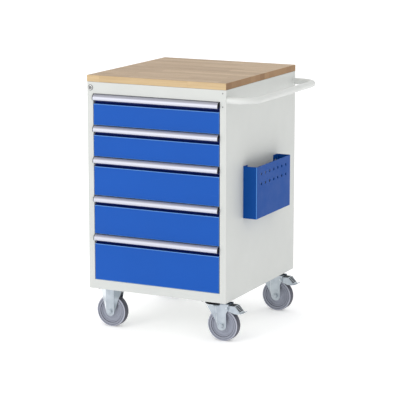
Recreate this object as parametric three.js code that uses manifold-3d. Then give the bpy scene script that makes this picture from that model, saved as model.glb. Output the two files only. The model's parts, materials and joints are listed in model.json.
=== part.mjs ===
// A mobile workbench: a sheet-steel cabinet with five drawers under a beech worktop, a tubular push
// handle and a document pocket on its right side, two fixed casters on the left and two braked
// swivel casters on the right.
//
// Millimetres, +Z up, the drawers open towards -Y. While the pieces are made, x = 0 is the cabinet's
// left side, y = 0 its front face and z = 0 the floor. At the end the whole bench is moved so that
// the origin lies on the floor in the middle of its overall length and depth.

import * as THREE from "three";
import { mergeVertices } from "three/addons/utils/BufferGeometryUtils.js";
import Module from "manifold-3d";

const wasm = await Module();
wasm.setup();

// ---------------------------------------------------------------- driving dimensions

// Cabinet
const cabinetWidth = 580;
const cabinetDepth = 640;
const topRailHeight = 44;
const bottomRailHeight = 36;
const stileWidth = 25;
const carcassSheet = 1.5;
const frameReturn = 20; // how far the front frame's edges are folded back
const plateFlange = 18; // folded edges of the top and base plates
const basePlateSheet = 2.5;
const sheetBend = 1; // inside radius of every folded edge
const worktopThickness = 25;
const worktopEdge = 1.5; // radius of the worktop's edges

// Drawers, from the top one down
const drawerHeights = [120, 120, 150, 150, 180];
const drawerGap = 2; // between a front and the frame at either side, and between two fronts
const frontSheet = 1.2;
const frontReturn = 18;
const recessHeight = 40; // from a drawer's top down to the bend below the finger recess
const recessDepth = 13;
const recessSlope = 7;
const traySheet = 1;
const trayBackRoom = 50; // behind a closed tray
const trayLift = 12; // tray's underside above the drawer's lower edge
const trayRimDrop = 18; // tray's rim below the drawer's top edge

// Grip strip: a bent aluminium section, from its seat on the front out to the lip
const stripSheet = 2;
const stripProud = 12.5;
const stripDrop = 24.5;
const stripLip = 4; // how far the lip's lower end curls back
const stripFace = 6; // height of the upright part above the lip
const stripBend = 5; // inside radius between the upright part and the slope
const stripEndRoom = 2.5; // for an end cap at each end

// Runners: a channel on the cabinet side, and a bar on the tray that slides in it
const runnerHeight = 30;
const runnerSheet = 1.5;
const runnerSetback = 4; // behind the trays' catches
const runnerBackRoom = 38;
const runnerRise = 22; // channel's underside above the tray's underside
const railWidth = 11; // how far the bar stands out from the tray
const slidingPlay = 1; // between the channel and what slides in it

// Lock
const lockSetback = 10; // lock's axis from the edge of the drawer opening
const lockRoseDiameter = 19;
const lockRoseProud = 2.5;
const lockSleeveDiameter = 15;
const lockSleeveLength = 20;
const lockPlugDiameter = 11;
const camSheet = 2;
const crankRadius = 5.66; // cam pin from the lock's axis
const camPinDiameter = 4;
const camPinPlay = 0.4;
const lockBarFront = 30; // bar's front face behind the cabinet's front face
const lockBarLeft = 6;
const lockBarWidth = 12;
const lockBarSheet = 2;
const lockBarHead = 22; // height of the bar's slotted head, and twice its reach past the lock's axis
const hookRoom = 4; // between a hook's end and the tray
const hookHeight = 9;
const catchHeight = 7;
const catchDepth = 3;
const catchPlay = 1;

// Push handle
const handleTube = 25;
const handleWall = 2;
const handleReach = 100; // cabinet side to the tube's centre line
const handleInset = 15; // a leg's centre line from the front or back face
const handleDrop = 38; // centre line below the cabinet's top
const handleBend = 65;

// Side pocket
const pocketWidth = 316;
const pocketHeight = 198;
const pocketDepth = 56;
const pocketFlange = 38;
const pocketSheet = 1.5;
const pocketInset = 151; // from the cabinet's front face
const pocketDrop = 304; // pocket's rim below the cabinet's top
const holePitch = 38;
const holeSize = 9.5;
const holeMargin = 25; // least distance from the pocket's end to the middle of a hole
const holeRows = 2;
const firstRowDrop = 31;

// Casters
const wheelDiameter = 125;
const tyreWidth = 32;
const tyreThickness = 17;
const tyreShoulder = 9;
const rimWidth = 27;
const rimThickness = 6;
const hubDiameter = 30;
const webThickness = 11;
const axleDiameter = 12;
const axleHeadDiameter = 22;
const axleHeadLength = 6;
const wheelPlay = 0.3; // radial, on the axle
const plateLength = 105;
const plateWidth = 84;
const plateThickness = 3.5;
const forkSheet = 3;
const forkRoom = 5; // between the tyre and a leg
const legBand = 38; // width of a leg at the axle
const legTop = 96; // width of a fixed caster's leg at the plate
const fixedInset = 65; // wheel's centre from the cabinet's left side
const swivelInset = 73; // swivel axis from the cabinet's right side
const casterInset = 68; // from the front and back faces
const swivelTrail = 36;
const raceDiameter = 60;
const raceHeight = 9;
const crownDiameter = 76;
const crownThickness = 3.5;
const crownRoom = 18.2; // between the wheel and the crown
const swivelPlay = 0.5;
const kingpinDiameter = 16;
const kingpinHeadDiameter = 26;
const kingpinHeadHeight = 3.5;
const pedalPinDiameter = 7;
const pedalPinAhead = 22; // pedal's pin behind the axle, away from the swivel axis
const pedalPinRise = 6; // pedal's pin above the wheel
const pedalSheet = 2.5;
const pedalRise = 10; // flat part of the pedal above its pin
const pedalKnee = 22; // pin to the bend where the flat part ends
const pedalTip = 66; // pin to the tip
const pedalTipDrop = 4; // tip below the pin
const pedalSkirt = 22; // cheek below the pin

// Room between pieces that touch on the real bench
const seam = 0.3;

// ---------------------------------------------------------------- places

const crownBottom = wheelDiameter + crownRoom;
const crownTop = crownBottom + crownThickness;
const raceBottom = crownTop + swivelPlay;
const plateBottom = raceBottom + raceHeight;
const plateTop = plateBottom + plateThickness;
const cabinetBottom = plateTop + seam;
const openingBottom = cabinetBottom + bottomRailHeight;
const openingTop = openingBottom + drawerHeights.reduce((sum, height) => sum + height, 0);
const cabinetTop = openingTop + topRailHeight;
const frameDepth = carcassSheet + frameReturn;
const innerLeft = carcassSheet + seam;
const innerRight = cabinetWidth - innerLeft;
const backFace = cabinetDepth - carcassSheet;

const lockInset = stileWidth - lockSetback;
const lockHeight = openingTop + topRailHeight / 2;
const lockAxis = [lockInset, lockHeight]; // (x, z)

/** Mirrors an x place to the other side of the cabinet when side is -1. */
const across = (x, side) => (side > 0 ? x : cabinetWidth - x);

// ---------------------------------------------------------------- solids

/** A manifold solid from a closed three.js geometry. */
function solid(geometry) {
  const bare = geometry.index ? geometry.toNonIndexed() : geometry;
  bare.deleteAttribute("normal");
  bare.deleteAttribute("uv");
  const merged = mergeVertices(bare, 1e-4);
  return new wasm.Manifold(
    new wasm.Mesh({
      numProp: 3,
      vertProperties: new Float32Array(merged.attributes.position.array),
      triVerts: new Uint32Array(merged.index.array),
    }),
  );
}

/** A three.js geometry, flat shaded, from a manifold solid. */
function geometryOf(body) {
  const mesh = body.getMesh();
  const geometry = new THREE.BufferGeometry();
  geometry.setAttribute("position", new THREE.BufferAttribute(new Float32Array(mesh.vertProperties), 3));
  geometry.setIndex(new THREE.BufferAttribute(new Uint32Array(mesh.triVerts), 1));
  geometry.computeVertexNormals();
  return geometry;
}

/** Joins any number of solids. */
function join(...bodies) {
  return bodies.reduce((sum, body) => sum.add(body));
}

/** A box between two corners. */
function block([x0, y0, z0], [x1, y1, z1]) {
  const geometry = new THREE.BoxGeometry(x1 - x0, y1 - y0, z1 - z0);
  geometry.translate((x0 + x1) / 2, (y0 + y1) / 2, (z0 + z1) / 2);
  return solid(geometry);
}

/** Turns a geometry extruded along +Z so that its outline and length lie along the named axes. */
function lay(geometry, axis) {
  const x = new THREE.Vector3(1, 0, 0);
  const y = new THREE.Vector3(0, 1, 0);
  const z = new THREE.Vector3(0, 0, 1);
  const bases = {
    x: [y, z, x], // outline (u, v) in (y, z)
    y: [x.clone().negate(), z, y], // outline (u, v) in (-x, z)
    z: [x, y, z], // outline (u, v) in (x, y)
  };
  geometry.applyMatrix4(new THREE.Matrix4().makeBasis(...bases[axis]));
  return geometry;
}

/** Extrudes a closed outline, or a Shape, from one place to another along an axis. */
function extrude(outline, axis, from, to) {
  const points = outline.map(([u, v]) => new THREE.Vector2(axis === "y" ? -u : u, v));
  const shape = new THREE.Shape(points);
  const geometry = new THREE.ExtrudeGeometry(shape, { depth: to - from, bevelEnabled: false });
  geometry.translate(0, 0, from);
  return solid(lay(geometry, axis));
}

/** A rod or disc between two places along an axis, centred on (u, v) of the other two axes. */
function rod(axis, [u, v], radius, from, to, sides = 24) {
  const outline = Array.from({ length: sides }, (_, i) => {
    const angle = ((i + 0.5) / sides) * 2 * Math.PI;
    return [u + radius * Math.cos(angle), v + radius * Math.sin(angle)];
  });
  return extrude(outline, axis, from, to);
}

/** Rounds a polyline's corners with arcs of the given radii. */
function rounded(points, radii, steps = 3) {
  const out = [];
  points.forEach((point, i) => {
    const radius = radii[i];
    if (i === 0 || i === points.length - 1 || radius < 0.01) {
      out.push(point);
      return;
    }
    const corner = new THREE.Vector2(...point);
    const before = new THREE.Vector2(...points[i - 1]).sub(corner).normalize();
    const after = new THREE.Vector2(...points[i + 1]).sub(corner).normalize();
    const half = Math.acos(THREE.MathUtils.clamp(before.dot(after), -1, 1)) / 2;
    const toCentre = before.clone().add(after).normalize();
    const centre = corner.clone().addScaledVector(toCentre, radius / Math.sin(half));
    const start = corner.clone().addScaledVector(before, radius / Math.tan(half)).sub(centre);
    const turn = Math.PI - 2 * half;
    const sign = Math.sign(before.cross(after)) || 1;
    for (let step = 0; step <= steps; step += 1) {
      const arm = start.clone().rotateAround(new THREE.Vector2(), (-sign * turn * step) / steps);
      out.push([centre.x + arm.x, centre.y + arm.y]);
    }
  });
  return out;
}

/** The polyline at a constant distance to the right of the given one. */
function offsetRight(points, distance) {
  return points.map((point, i) => {
    const here = new THREE.Vector2(...point);
    const before = i > 0 ? new THREE.Vector2(...points[i - 1]) : null;
    const after = i < points.length - 1 ? new THREE.Vector2(...points[i + 1]) : null;
    const into = (before ? here.clone().sub(before) : after.clone().sub(here)).normalize();
    const out = (after ? after.clone().sub(here) : here.clone().sub(before)).normalize();
    const normalIn = new THREE.Vector2(into.y, -into.x);
    const normalOut = new THREE.Vector2(out.y, -out.x);
    const mitre = normalIn.clone().add(normalOut).normalize();
    here.addScaledVector(mitre, distance / mitre.dot(normalIn));
    return [here.x, here.y];
  });
}

/** -1 where a path turns right, +1 where it turns left, 0 at its ends. */
function turnsOf(path) {
  return path.map((point, i) => {
    if (i === 0 || i === path.length - 1) return 0;
    const into = new THREE.Vector2(...point).sub(new THREE.Vector2(...path[i - 1]));
    const out = new THREE.Vector2(...path[i + 1]).sub(new THREE.Vector2(...point));
    return Math.sign(into.cross(out));
  });
}

/** Both faces of a section that follows a path, with its thickness to the path's right and an inside
 *  radius for each corner. */
function sheetFaces(path, thickness, insideRadii) {
  const turns = turnsOf(path);
  const near = insideRadii.map((radius, i) => radius + (turns[i] < 0 ? thickness : 0));
  const far = insideRadii.map((radius, i) => radius + (turns[i] > 0 ? thickness : 0));
  return [rounded(path, near), rounded(offsetRight(path, thickness), far)];
}

/** The closed outline of such a section. */
function sheetOutline(path, thickness, insideRadii) {
  const [near, far] = sheetFaces(path, thickness, insideRadii);
  return [...near, ...far.reverse()];
}

/** The outline of a sheet folded along a path, with the same inside radius at every fold. */
function bentSheet(path, thickness) {
  return sheetOutline(path, thickness, path.map(() => sheetBend));
}

// ---------------------------------------------------------------- materials

function finish(color, roughness, metalness) {
  return new THREE.MeshStandardMaterial({ color, roughness, metalness });
}
const greyPaint = finish("#d9dcdb", 0.45, 0.1);
const bluePaint = finish("#1f4fb4", 0.4, 0.1);
const beech = finish("#d0b083", 0.6, 0);
const aluminium = finish("#c3c8d2", 0.35, 0.9);
const zinc = finish("#b4bcc2", 0.35, 0.9);
const rubber = finish("#6c6a72", 0.8, 0);
const hubPlastic = finish("#9c9cab", 0.6, 0);
const chrome = finish("#c9ccd0", 0.15, 1);

const bench = new THREE.Group();

/** Adds a solid to the bench as a named piece. */
function addPiece(name, body, material, parent = bench) {
  const mesh = new THREE.Mesh(geometryOf(body), material);
  mesh.name = name;
  parent.add(mesh);
  return mesh;
}

// ---------------------------------------------------------------- cabinet

/** The left (side +1) or right (side -1) post of the front frame, folded back at the opening. */
function stile(side) {
  const path = [
    [across(stileWidth, side), frameDepth],
    [across(stileWidth, side), 0],
    [across(0, side), 0],
  ];
  const outline = bentSheet(side > 0 ? path : path.reverse(), carcassSheet);
  return extrude(outline, "z", cabinetBottom, cabinetTop);
}

/** A rail of the front frame between the stiles, folded back at its lower and upper edge. */
function rail(bottom, top) {
  const path = [
    [frameDepth, bottom],
    [0, bottom],
    [0, top],
    [frameDepth, top],
  ];
  return extrude(bentSheet(path, carcassSheet), "x", stileWidth + seam, cabinetWidth - stileWidth - seam);
}

/** A plate across the cabinet whose left and right edges are folded towards the drawers. */
function flangedPlate(face, fold, sheet) {
  const path = [
    [innerLeft, fold],
    [innerLeft, face],
    [innerRight, face],
    [innerRight, fold],
  ];
  const outline = bentSheet(fold < face ? path : path.reverse(), sheet);
  return extrude(outline, "y", frameDepth + seam, backFace - seam);
}

function addCabinet() {
  const sideFront = carcassSheet + seam;
  for (const [name, side] of [["left", 1], ["right", -1]]) {
    const faces = [across(0, side), across(carcassSheet, side)].sort((a, b) => a - b);
    const panel = block([faces[0], sideFront, cabinetBottom], [faces[1], cabinetDepth, cabinetTop]);
    addPiece(`${name}_side`, panel, greyPaint);
  }
  const lockHole = rod("y", lockAxis, lockSleeveDiameter / 2 + seam, -carcassSheet, 2 * carcassSheet);
  addPiece("left_stile", stile(1).subtract(lockHole), greyPaint);
  addPiece("right_stile", stile(-1), greyPaint);
  addPiece("top_rail", rail(openingTop, cabinetTop), greyPaint);
  addPiece("bottom_rail", rail(cabinetBottom, openingBottom), greyPaint);
  const back = block([innerLeft, backFace, cabinetBottom], [innerRight, cabinetDepth, cabinetTop]);
  addPiece("back_panel", back, greyPaint);
  addPiece("top_plate", flangedPlate(cabinetTop, cabinetTop - plateFlange, carcassSheet), greyPaint);
  const base = flangedPlate(cabinetBottom, cabinetBottom + plateFlange, basePlateSheet);
  addPiece("base_plate", base, greyPaint);
}

function addWorktop() {
  const shape = new THREE.Shape();
  shape.moveTo(worktopEdge, worktopEdge);
  shape.lineTo(cabinetWidth - worktopEdge, worktopEdge);
  shape.lineTo(cabinetWidth - worktopEdge, cabinetDepth - worktopEdge);
  shape.lineTo(worktopEdge, cabinetDepth - worktopEdge);
  const geometry = new THREE.ExtrudeGeometry(shape, {
    depth: worktopThickness - 2 * worktopEdge,
    bevelSize: worktopEdge,
    bevelThickness: worktopEdge,
    bevelSegments: 2,
  });
  geometry.translate(0, 0, cabinetTop + seam + worktopEdge);
  addPiece("worktop", solid(geometry), beech);
}

// ---------------------------------------------------------------- drawers

// A drawer is made with z = 0 at its top edge, and hung at its place by a group.

const frontLeft = stileWidth + drawerGap;
const frontRight = cabinetWidth - frontLeft;
const stripSeat = drawerGap / 2 + stripSheet + seam; // front's upper flange below the drawer's top
const trayFront = frontReturn + seam;
const trayBack = backFace - trayBackRoom;
const runnerMouth = frontLeft + slidingPlay + railWidth;
const trayLeft = runnerMouth + slidingPlay;
const trayRight = cabinetWidth - trayLeft;
const catchFront = lockBarFront + lockBarSheet + catchPlay;
const runnerFront = catchFront + catchDepth + runnerSetback;
const railHeight = runnerHeight - 2 * runnerSheet - 2 * slidingPlay;
const trayBottom = (height) => -height + trayLift;
const runnerMiddle = (height) => trayBottom(height) + runnerRise + runnerHeight / 2;
const catchTop = -trayRimDrop - drawerGap;

/** A blue front: a sheet folded round the finger recess, closed by a cheek at each end. */
function drawerFront(height) {
  const path = [
    [frontReturn, -height + drawerGap / 2],
    [0, -height + drawerGap / 2],
    [0, -recessHeight],
    [recessDepth, -recessHeight + recessSlope],
    [recessDepth, -stripSeat],
    [frontReturn, -stripSeat],
  ];
  const [outside, inside] = sheetFaces(path, frontSheet, path.map(() => sheetBend));
  const first = inside.at(0);
  const last = inside.at(-1);
  const hollow = [[first[0] + frontSheet, first[1]], ...inside, [last[0] + frontSheet, last[1]]];
  return extrude(outside, "x", frontLeft, frontRight).subtract(
    extrude(hollow, "x", frontLeft + frontSheet, frontRight - frontSheet),
  );
}

/** An open tray, with a bar on each side for the runners and a catch for the locking bar. */
function drawerTray(height) {
  const bottom = trayBottom(height);
  const tray = block([trayLeft, trayFront, bottom], [trayRight, trayBack, -trayRimDrop]);
  const inside = block(
    [trayLeft + traySheet, trayFront + traySheet, bottom + traySheet],
    [trayRight - traySheet, trayBack - traySheet, 0],
  );
  const railFoot = runnerMiddle(height) - railHeight / 2;
  const bars = [
    [trayLeft - railWidth, trayLeft + traySheet / 2],
    [trayRight - traySheet / 2, trayRight + railWidth],
  ].map(([from, to]) => block([from, runnerFront, railFoot], [to, trayBack, railFoot + railHeight]));
  const lockCatch = block(
    [trayLeft - railWidth, catchFront, catchTop - catchHeight],
    [trayLeft + traySheet / 2, catchFront + catchDepth, catchTop],
  );
  return join(tray.subtract(inside), ...bars, lockCatch);
}

/** The aluminium grip along a drawer's top edge: its seat, its sloping face and its lip. */
function gripStrip() {
  const top = -drawerGap / 2;
  const path = [
    [-stripProud + stripLip, -stripDrop],
    [-stripProud, -stripDrop + stripLip],
    [-stripProud, -stripDrop + stripLip + stripFace],
    [0, top],
    [frontReturn, top],
  ];
  const radii = [0, stripSheet, stripBend, stripSheet, 0];
  const outline = sheetOutline(path, stripSheet, radii);
  return extrude(outline, "x", frontLeft + stripEndRoom, frontRight - stripEndRoom);
}

/** A cabinet runner: a channel that opens towards the tray. */
function runner(height, side) {
  const foot = runnerMiddle(height) - runnerHeight / 2;
  const mouth = across(runnerMouth, side);
  const web = across(innerLeft, side);
  const path = [
    [mouth, foot],
    [web, foot],
    [web, foot + runnerHeight],
    [mouth, foot + runnerHeight],
  ];
  const outline = bentSheet(side > 0 ? path : path.reverse(), runnerSheet);
  return extrude(outline, "y", runnerFront, backFace - runnerBackRoom);
}

function addDrawers() {
  let top = openingTop;
  drawerHeights.forEach((height, index) => {
    const place = new THREE.Group();
    place.position.z = top;
    bench.add(place);
    const number = index + 1;
    addPiece(`drawer_front_${number}`, drawerFront(height), bluePaint, place);
    addPiece(`drawer_tray_${number}`, drawerTray(height), greyPaint, place);
    addPiece(`grip_strip_${number}`, gripStrip(), aluminium, place);
    addPiece(`runner_left_${number}`, runner(height, 1), zinc, place);
    addPiece(`runner_right_${number}`, runner(height, -1), zinc, place);
    top -= height;
  });
}

// ---------------------------------------------------------------- lock

const camFront = lockBarFront - seam - camSheet;

/** Rose and sleeve, fixed in the left stile. */
function lockHousing() {
  const rose = rod("y", lockAxis, lockRoseDiameter / 2, -lockRoseProud, -seam);
  const sleeve = rod("y", lockAxis, lockSleeveDiameter / 2, -lockRoseProud, lockSleeveLength);
  const bore = rod("y", lockAxis, lockPlugDiameter / 2 + seam, -lockRoseProud - 1, lockSleeveLength + 1);
  return join(rose, sleeve).subtract(bore);
}

// The cam's pin starts 45 degrees below the horizontal and ends 45 degrees above it, which lifts the
// bar by crankRadius times the square root of two.
const pinDrop = crankRadius * Math.SQRT1_2;
const pinPlace = [lockInset + pinDrop, lockHeight - pinDrop];

/** Plug with a key slot, and the cam whose pin lifts the locking bar. */
function lockCylinder() {
  const camMiddle = camFront + camSheet / 2;
  const plug = rod("y", lockAxis, lockPlugDiameter / 2, -lockRoseProud, camMiddle);
  const slot = block(
    [lockInset - 1, -lockRoseProud - 1, lockHeight - lockPlugDiameter / 4],
    [lockInset + 1, frameReturn / 4, lockHeight + lockPlugDiameter / 4],
  );
  const cam = join(
    rod("y", lockAxis, lockPlugDiameter / 2, camFront, camFront + camSheet),
    rod("y", pinPlace, camPinDiameter, camFront, camFront + camSheet),
  );
  const pin = rod("y", pinPlace, camPinDiameter / 2, camMiddle, lockBarFront + lockBarSheet, 12);
  return join(plug.subtract(slot), cam, pin);
}

/** Bar behind the left stile, with a slotted head for the cam's pin and a hook for each drawer. */
function lockBar() {
  const back = lockBarFront + lockBarSheet;
  const head = block(
    [lockBarLeft, lockBarFront, pinPlace[1] - lockBarHead / 2],
    [lockInset + lockBarHead / 2, back, pinPlace[1] + lockBarHead / 2],
  );
  const slotHalf = camPinDiameter / 2 + camPinPlay;
  const slot = block(
    [lockInset + pinDrop - slotHalf, lockBarFront - 1, pinPlace[1] - slotHalf],
    [lockInset + crankRadius + slotHalf, back + 1, pinPlace[1] + slotHalf],
  );
  const hooks = [];
  let top = openingTop;
  let foot = top;
  for (const height of drawerHeights) {
    const hookTop = top + catchTop - catchHeight - catchPlay;
    const hookFoot = hookTop - hookHeight;
    hooks.push(block([lockBarLeft, lockBarFront, hookFoot], [trayLeft - hookRoom, back, hookTop]));
    foot = hookFoot - hookHeight;
    top -= height;
  }
  const bar = block([lockBarLeft, lockBarFront, foot], [lockBarLeft + lockBarWidth, back, pinPlace[1]]);
  return join(head, bar, ...hooks).subtract(slot);
}

function addLock() {
  addPiece("lock_housing", lockHousing(), chrome);
  addPiece("lock_cylinder", lockCylinder(), chrome);
  addPiece("lock_bar", lockBar(), zinc);
}

// ---------------------------------------------------------------- push handle

function addPushHandle() {
  const near = handleInset;
  const far = cabinetDepth - handleInset;
  const root = cabinetWidth + seam;
  const reach = cabinetWidth + handleReach;
  const at = (x, y) => new THREE.Vector3(x, y, cabinetTop - handleDrop);
  const path = new THREE.CurvePath();
  path.add(new THREE.LineCurve3(at(root, near), at(reach - handleBend, near)));
  path.add(quarterBend(at(reach - handleBend, near + handleBend), -Math.PI / 2));
  path.add(new THREE.LineCurve3(at(reach, near + handleBend), at(reach, far - handleBend)));
  path.add(quarterBend(at(reach - handleBend, far - handleBend), 0));
  path.add(new THREE.LineCurve3(at(reach - handleBend, far), at(root, far)));
  const sides = 12;
  const section = new THREE.Shape(ringPoints(handleTube / 2, sides));
  section.holes.push(new THREE.Path(ringPoints(handleTube / 2 - handleWall, sides)));
  const geometry = new THREE.ExtrudeGeometry(section, { steps: 38, extrudePath: path });
  addPiece("push_handle", solid(geometry), greyPaint);
}

/** A quarter circle about a centre, counter-clockwise from an angle, level with the centre. */
function quarterBend(centre, from) {
  const bend = new THREE.Curve();
  bend.getPoint = (t, target = new THREE.Vector3()) => {
    const angle = from + (t * Math.PI) / 2;
    return target.set(
      centre.x + handleBend * Math.cos(angle),
      centre.y + handleBend * Math.sin(angle),
      centre.z,
    );
  };
  return bend;
}

function ringPoints(radius, sides) {
  return Array.from({ length: sides }, (_, i) => {
    const angle = (i / sides) * 2 * Math.PI;
    return new THREE.Vector2(radius * Math.cos(angle), radius * Math.sin(angle));
  });
}

// ---------------------------------------------------------------- side pocket

function addPocket() {
  const inner = cabinetWidth + seam;
  const outer = inner + pocketDepth;
  const near = pocketInset;
  const far = pocketInset + pocketWidth;
  const rim = cabinetTop - pocketDrop;
  const bottom = rim - pocketHeight;
  const path = [
    [inner, far - pocketFlange],
    [inner, far],
    [outer, far],
    [outer, near],
    [inner, near],
    [inner, near + pocketFlange],
  ];
  const walls = extrude(bentSheet(path, pocketSheet), "z", bottom, rim);
  const skirt = pocketSheet / 2;
  const floor = block([inner, near + skirt, bottom], [outer - skirt, far - skirt, bottom + pocketSheet]);
  const holeColumns = Math.floor((pocketWidth - 2 * holeMargin) / holePitch) + 1;
  const margin = (pocketWidth - (holeColumns - 1) * holePitch) / 2;
  let pocket = walls.add(floor);
  for (let row = 0; row < holeRows; row += 1) {
    for (let column = 0; column < holeColumns; column += 1) {
      const y = near + margin + column * holePitch - holeSize / 2;
      const z = rim - firstRowDrop - row * holePitch - holeSize / 2;
      const hole = block(
        [outer - 2 * pocketSheet, y, z],
        [outer + pocketSheet, y + holeSize, z + holeSize],
      );
      pocket = pocket.subtract(hole);
    }
  }
  addPiece("side_pocket", pocket, bluePaint);
}

// ---------------------------------------------------------------- casters

// A caster is made with y = 0 in its middle plane, and set at its place by a group.

const wheelRadius = wheelDiameter / 2;
const legInner = tyreWidth / 2 + forkRoom;
const legOuter = legInner + forkSheet;
const pinReach = swivelTrail + pedalPinAhead;
const pinHeight = wheelDiameter + pedalPinRise;

/** A closed profile turned about the axle at x: (radius, y) points. */
function wheelRing(profile, x, sides) {
  const points = [...profile, profile[0]].map(([radius, y]) => new THREE.Vector2(radius, y));
  const geometry = new THREE.LatheGeometry(points, sides);
  geometry.translate(x, 0, wheelRadius);
  return solid(geometry);
}

/** Tyre: flat tread with round shoulders. */
function tyre(x) {
  const half = tyreWidth / 2;
  const inner = wheelRadius - tyreThickness;
  const outline = rounded(
    [[inner, -half], [wheelRadius, -half], [wheelRadius, half], [inner, half]],
    [0, tyreShoulder, tyreShoulder, 0],
    3,
  );
  return wheelRing(outline, x, 32);
}

/** Wheel: hub, web and rim in one moulding. */
function wheel(x) {
  const bore = axleDiameter / 2 + wheelPlay;
  const rimOuter = wheelRadius - tyreThickness - seam;
  const rimInner = rimOuter - rimThickness;
  const hubHalf = legInner - 1;
  const half = [
    [bore, hubHalf],
    [hubDiameter / 2, hubHalf],
    [hubDiameter / 2, webThickness / 2],
    [rimInner, webThickness / 2],
    [rimInner, rimWidth / 2],
    [rimOuter, rimWidth / 2],
  ];
  const mirrored = half.map(([radius, y]) => [radius, -y]);
  return wheelRing([...mirrored, ...half.reverse()], x, 24);
}

/** Axle: a bolt through both legs, with its head and nut outside them. */
function axle(x) {
  const headIn = legOuter + seam;
  const headOut = headIn + axleHeadLength;
  const at = [x, wheelRadius];
  return join(
    rod("y", at, axleDiameter / 2, -headOut, headOut, 20),
    rod("y", at, axleHeadDiameter / 2, -headOut, -headIn, 6),
    rod("y", at, axleHeadDiameter / 2, headIn, headOut, 20),
  );
}

/** Both legs of a fork from one outline in (x, z), with holes for the axle. */
function legs(outline, axleX) {
  const hole = rod("y", [axleX, wheelRadius], axleDiameter / 2 + seam, -legOuter - 1, legOuter + 1, 20);
  return [
    extrude(outline, "y", -legOuter, -legInner).subtract(hole),
    extrude(outline, "y", legInner, legOuter).subtract(hole),
  ];
}

/** The round lower end of a leg, from its left edge to its right edge. */
function legEnd(axleX) {
  const steps = 8;
  return Array.from({ length: steps + 1 }, (_, i) => {
    const angle = Math.PI + (i / steps) * Math.PI;
    return [axleX + (legBand / 2) * Math.cos(angle), wheelRadius + (legBand / 2) * Math.sin(angle)];
  });
}

function topPlate() {
  return block(
    [-plateLength / 2, -plateWidth / 2, plateBottom],
    [plateLength / 2, plateWidth / 2, plateTop],
  );
}

/** Fixed bracket: top plate and two tapering legs. */
function fixedBracket() {
  const outline = [
    [-legTop / 2, plateBottom + plateThickness / 2],
    ...legEnd(0),
    [legTop / 2, plateBottom + plateThickness / 2],
  ];
  return join(topPlate(), ...legs(outline, 0));
}

/** Swivel plate: top plate, upper race and the riveted kingpin. */
function swivelPlate() {
  const headTop = crownBottom - swivelPlay;
  return join(
    topPlate(),
    rod("z", [0, 0], raceDiameter / 2, raceBottom, plateTop - plateThickness / 2, 28),
    rod("z", [0, 0], kingpinDiameter / 2, headTop - kingpinHeadHeight, plateBottom, 20),
    rod("z", [0, 0], kingpinHeadDiameter / 2, headTop - kingpinHeadHeight, headTop, 20),
  );
}

/** Swivel fork: crown, two trailing legs and the pedal's pin. */
function swivelFork() {
  const legFront = -crownDiameter / 2 + crownThickness;
  const legBack = pinReach + pedalPinDiameter;
  const outline = [
    [legFront, crownTop - crownThickness / 2],
    ...legEnd(swivelTrail),
    [swivelTrail + legBand / 2, pinHeight - 2 * pedalPinDiameter],
    [legBack, pinHeight - pedalPinDiameter],
    [legBack, crownTop - crownThickness / 2],
  ];
  const disc = rod("z", [0, 0], crownDiameter / 2, crownBottom, crownTop, 28);
  const bridge = block([0, -legOuter, crownBottom], [swivelTrail, legOuter, crownTop]);
  const kingpinHole = rod("z", [0, 0], kingpinDiameter / 2 + swivelPlay, crownBottom - 1, crownTop + 1, 20);
  const pin = rod("y", [pinReach, pinHeight], pedalPinDiameter / 2, -legOuter, legOuter, 16);
  return join(disc.add(bridge).subtract(kingpinHole), ...legs(outline, swivelTrail), pin);
}

/** Brake pedal: a bent tread with a cheek on each side that turns on the fork's pin. */
function brakePedal() {
  const outer = legInner - slidingPlay;
  const inner = outer - pedalSheet;
  const flat = pinHeight + pedalRise;
  const start = pinReach - pedalRise;
  const knee = pinReach + pedalKnee;
  const tip = pinReach + pedalTip;
  const tipHeight = pinHeight - pedalTipDrop;
  const path = [
    [start, flat],
    [knee, flat],
    [tip, tipHeight],
  ];
  const tread = extrude(bentSheet(path, pedalSheet), "y", -outer, outer);
  const inTread = offsetRight(path, pedalSheet / 2);
  const cheek = [
    inTread[0],
    [start, pinHeight - pedalPinDiameter],
    [knee, pinHeight - pedalSkirt],
    inTread[2],
    inTread[1],
  ];
  const pinHole = rod("y", [pinReach, pinHeight], pedalPinDiameter / 2 + seam, -legInner, legInner, 16);
  const cheeks = [extrude(cheek, "y", -outer, -inner), extrude(cheek, "y", inner, outer)];
  return join(tread, ...cheeks).subtract(pinHole);
}

function addCasters() {
  for (const [end, y] of [["front", casterInset], ["back", cabinetDepth - casterInset]]) {
    const fixed = new THREE.Group();
    fixed.position.set(fixedInset, y, 0);
    const swivel = new THREE.Group();
    swivel.position.set(cabinetWidth - swivelInset, y, 0);
    bench.add(fixed, swivel);
    addPiece(`fixed_bracket_${end}`, fixedBracket(), zinc, fixed);
    addPiece(`swivel_plate_${end}`, swivelPlate(), zinc, swivel);
    addPiece(`swivel_fork_${end}`, swivelFork(), zinc, swivel);
    addPiece(`brake_pedal_${end}`, brakePedal(), zinc, swivel);
    for (const [kind, place, x] of [["fixed", fixed, 0], ["swivel", swivel, swivelTrail]]) {
      addPiece(`${kind}_wheel_${end}`, wheel(x), hubPlastic, place);
      addPiece(`${kind}_tyre_${end}`, tyre(x), rubber, place);
      addPiece(`${kind}_axle_${end}`, axle(x), zinc, place);
    }
  }
}

// ---------------------------------------------------------------- assembly

addCabinet();
addWorktop();
addDrawers();
addLock();
addPushHandle();
addPocket();
addCasters();

// The handle reaches furthest to the right and the grip strips furthest to the front.
const overallRight = cabinetWidth + handleReach + handleTube / 2;
bench.position.set(-overallRight / 2, (stripProud - cabinetDepth) / 2, 0);

export default bench;
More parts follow.
